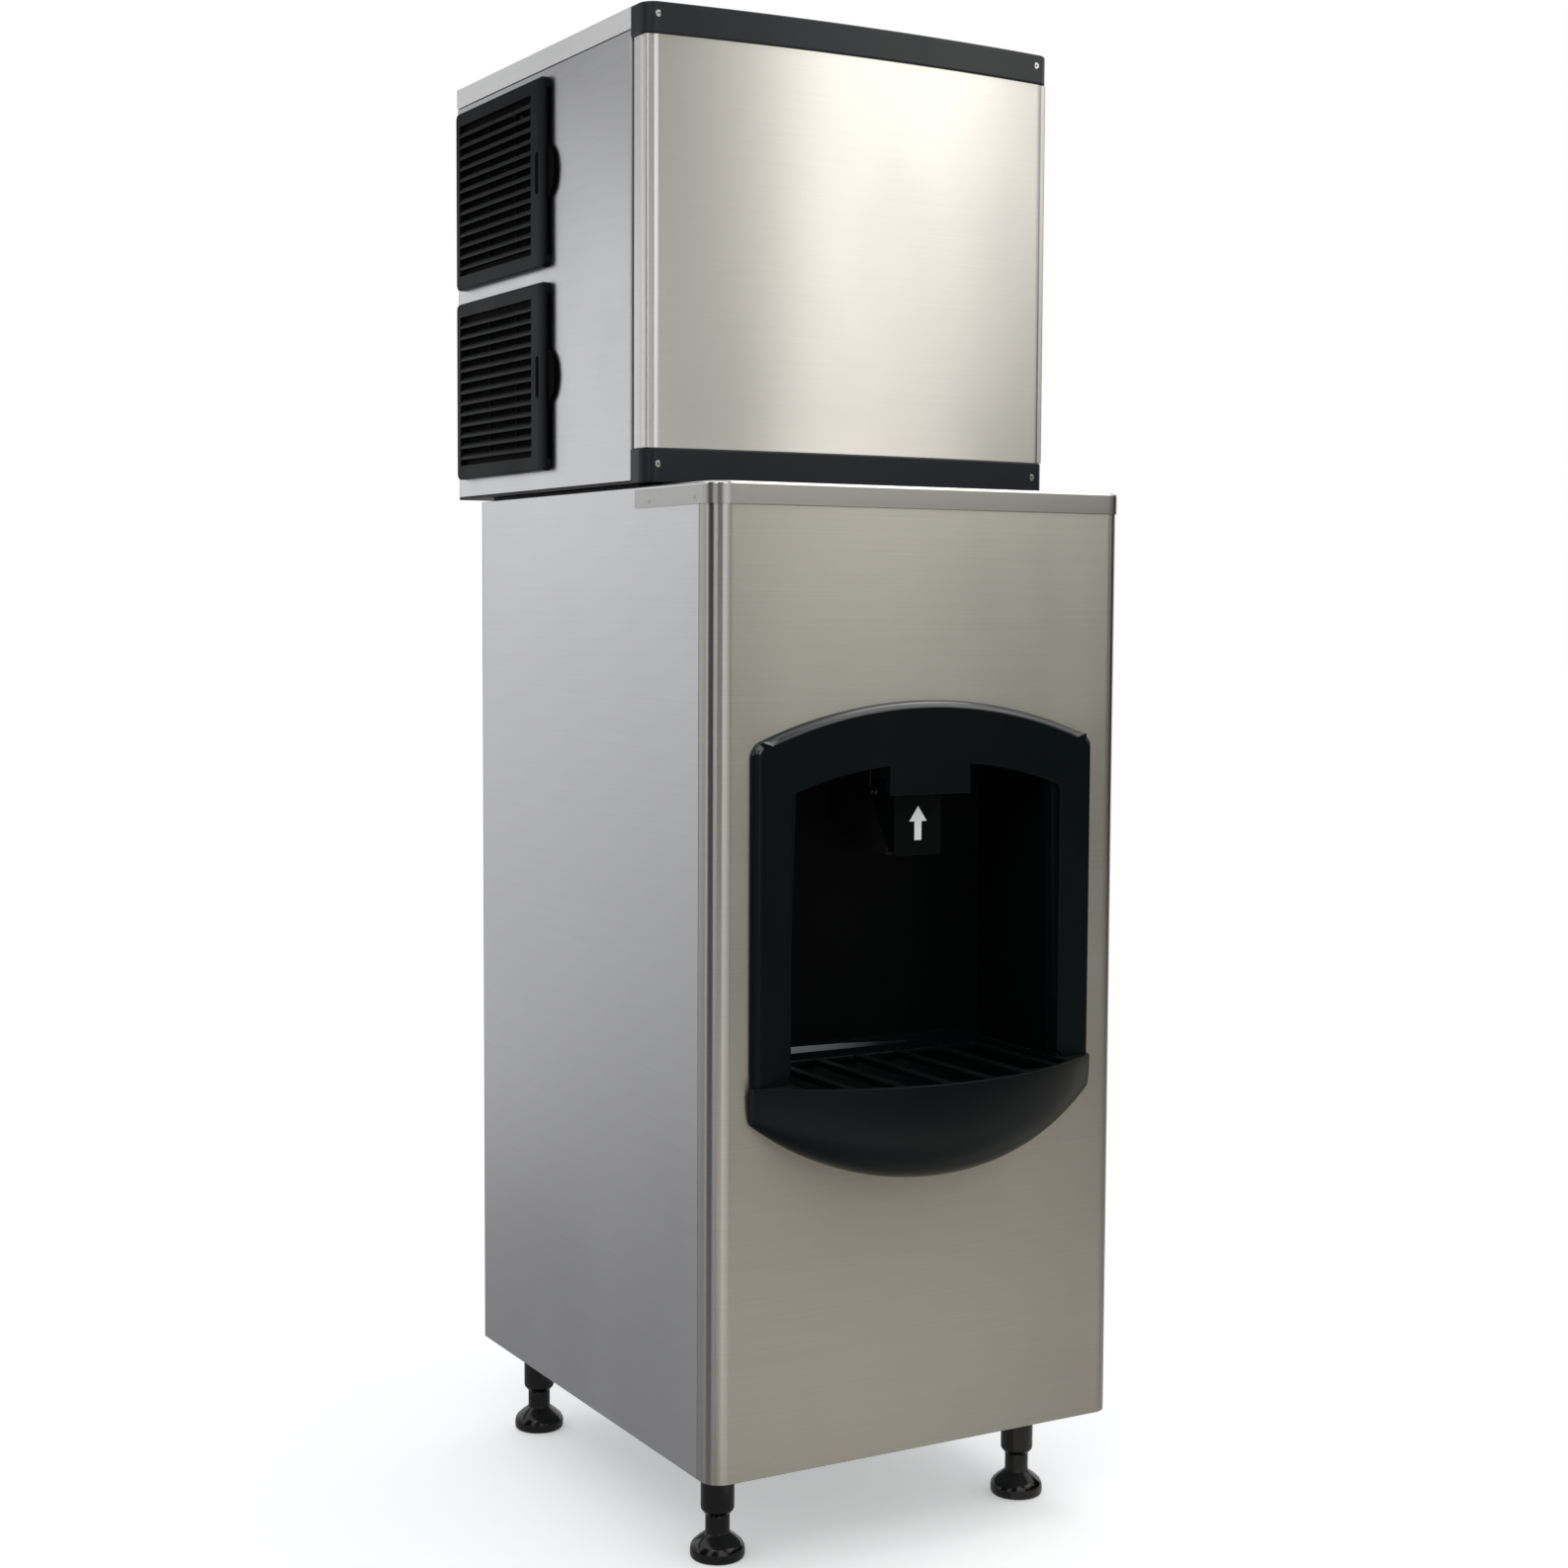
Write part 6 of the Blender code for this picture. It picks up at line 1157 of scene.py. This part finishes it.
def make_light():
    scene = bpy.context.scene
    scene.view_settings.view_transform = "Standard"
    world = bpy.data.worlds.new("studio")
    scene.world = world
    world.use_nodes = True
    tree = world.node_tree
    tree.nodes.clear()
    ambient = add_node(tree, "ShaderNodeBackground", [("Color", (0.96, 0.98, 1, 1)), ("Strength", 0.8)])
    white = add_node(tree, "ShaderNodeBackground", [("Color", (1, 1, 1, 1)), ("Strength", 1)])
    mixed = add_node(tree, "ShaderNodeMixShader", [
        (0, seen_plainly(tree)), (1, ambient.outputs[0]), (2, white.outputs[0])])
    add_node(tree, "ShaderNodeOutputWorld", [(0, mixed.outputs[0])])
    soft_lamp("top_lamp", (1.5, -0.6, 3.7), (0, -0.2, 1), 1.2, 14)
    soft_lamp("key_lamp", (-2.6, -2.8, 3.4), (0, 0, 0.9), 1.6, 26, (1, 0.99, 0.97))
    warm = (1, 0.975, 0.9)
    cool = (0.985, 0.99, 1)
    amber = (1, 0.94, 0.82)
    floor_card("front_floor_card", 31, 0.3, 4.6, 3, 0.002, amber, (0, 0.66), (0.09, 0.62),
               (0.27, ((0, 0.36), (0.5, 0.36), (0.56, 0.28), (1, 0.28))),
               (0.41, ((0, 0.3), (0.46, 0.3), (0.5, 0.24), (0.56, 0.17), (1, 0.17))),
               (0.74, 0.02), (1, 0))
    wall_card("front_low_card", (10, 66), (0, 1.41), 3.4, warm,
              (0, 0.02), (0.3, ((0, 0), (0.23, 0), (0.36, 0.04), (1, 0.06))),
              (0.58, ((0, 0), (0.22, 0.06), (0.27, 0.1), (0.36, 0.06), (0.44, 0), (1, 0))),
              (0.8, ((0, 0), (0.2, 0.2), (0.26, 0.34), (0.35, 0.2), (0.42, 0), (1, 0))),
              (1, ((0, 0), (0.2, 0.3), (0.26, 0.46), (0.35, 0.34), (0.42, 0), (1, 0))))
    wall_card("right_dark_card", (66, 100), (0, 2.1), 3.4, warm, (0, 0), (1, 0))
    top_row = ((0, 0), (0.18, 0), (0.31, 0.44), (0.46, 1), (0.6, 1.1), (0.74, 1.2), (1, 0.6))
    wall_card("head_upper_card", (0, 60), (3.2, 6.5), 3.4, warm, (0, top_row), (1, top_row))
    left_part = ((0, 0.5), (0.18, 0.5), (0.31, 0.26))
    wall_card("head_front_card", (0, 60), (1.41, 3.2), 3.4, warm,
              (0, (*left_part, (0.46, 0.7), (0.54, 0.4), (0.64, 0.22), (1, 0.2))),
              (0.14, (*left_part, (0.46, 0.86), (0.6, 0.52), (0.74, 0.34), (1, 0.3))),
              (0.31, ((0, 0.6), (0.18, 0.6), (0.31, 0.34), (0.46, 0.86), (0.6, 1.05), (0.74, 0.28),
                      (1, 0.2))),
              (0.5, top_row), (1, top_row))
    floor_card("rear_left_floor_card", 180, -0.7, 5, 3.4, 0.002, cool,
               (0, 0.14), (0.22, 0.145), (0.36, 0.16),
               (0.53, ((0, 0.12), (0.26, 0.19), (0.3, 0.27), (0.34, 0.33), (1, 0.33))),
               (0.7, ((0, 0.2), (0.26, 0.23), (0.34, 0.31), (1, 0.31))),
               (1, 0.33))
    far_row = ((0.59, 0.31), (0.65, 0.27), (1, 0.24))
    wall_card("rear_left_wall_card", (-200, -118), (0, 3.4), 4.4, cool,
              (0, ((0, 0.33), (0.55, 0.34), *far_row)),
              (0.12, ((0, 0.36), (0.55, 0.35), *far_row)),
              (0.26, ((0, 0.42), (0.55, 0.41), (0.59, 0.39), (0.65, 0.34), (1, 0.3))),
              (0.4, ((0, 0.5), (0.59, 0.5), (0.65, 0.45), (1, 0.4))),
              (0.56, 0.62), (0.66, 0.34), (0.74, 0.06), (0.85, 0.04), (1, 0.75))
    wall_card("left_dark_card", (-102, -70), (0, 3.4), 3.2, cool,
              (0, 0), (0.26, ((0, 0), (0.8, 0), (1, 0.05))),
              (0.45, ((0, 0.2), (0.4, 0.02), (0.8, 0), (1, 0.05))), (1, 0.03))
    floor_card("left_floor_card", -66, 0.45, 4.4, 1.9, 0.001, cool,
               (0, 0.16), (0.3, 0.12), (0.6, 0.05), (1, 0.02))
    wall_card("camera_dark_card", (-52, -27), (0, 3.4), 3.2, cool, (0, 0.03), (0.4, 0.02), (1, 0))
    wall_card("camera_bright_card", (-25, -4), (0.2, 3.4), 3.2, cool, (0, 0.45), (0.3, 0.66), (1, 0.66))


def make_camera():
    """The camera that was solved from the photo's straight edges, cabinet first."""
    camera = bpy.data.cameras.new("photo_camera")
    camera.lens = 55.415
    camera.sensor_width = 36
    camera.shift_x = 0.00788
    camera.shift_y = -0.00656
    holder = placed("photo_camera", camera)
    yaw, pitch, roll = (math.radians(angle) for angle in (29.493, 3.931, 0.262))
    forward = Vector((math.sin(yaw) * math.cos(pitch), math.cos(yaw) * math.cos(pitch), -math.sin(pitch)))
    right = Vector((math.cos(yaw), -math.sin(yaw), 0))
    up = right.cross(forward)
    level_right = right * math.cos(roll) + up * math.sin(roll)
    level_up = -right * math.sin(roll) + up * math.cos(roll)
    turn = Matrix((level_right, level_up, -forward)).transposed().to_4x4()
    holder.matrix_world = Matrix.Translation((-1.5257, -2.6543, 1.1128)) @ turn
    bpy.context.scene.camera = holder


make_camera()
make_light()
make_stage()
make_cabinet()
make_legs()
make_bezel()
make_basin()
make_alcove()
make_lever()
make_head_shell()
for level in GRILLE_CENTRES:
    make_grille(level)
    make_filter(level)
make_screws()
make_services()
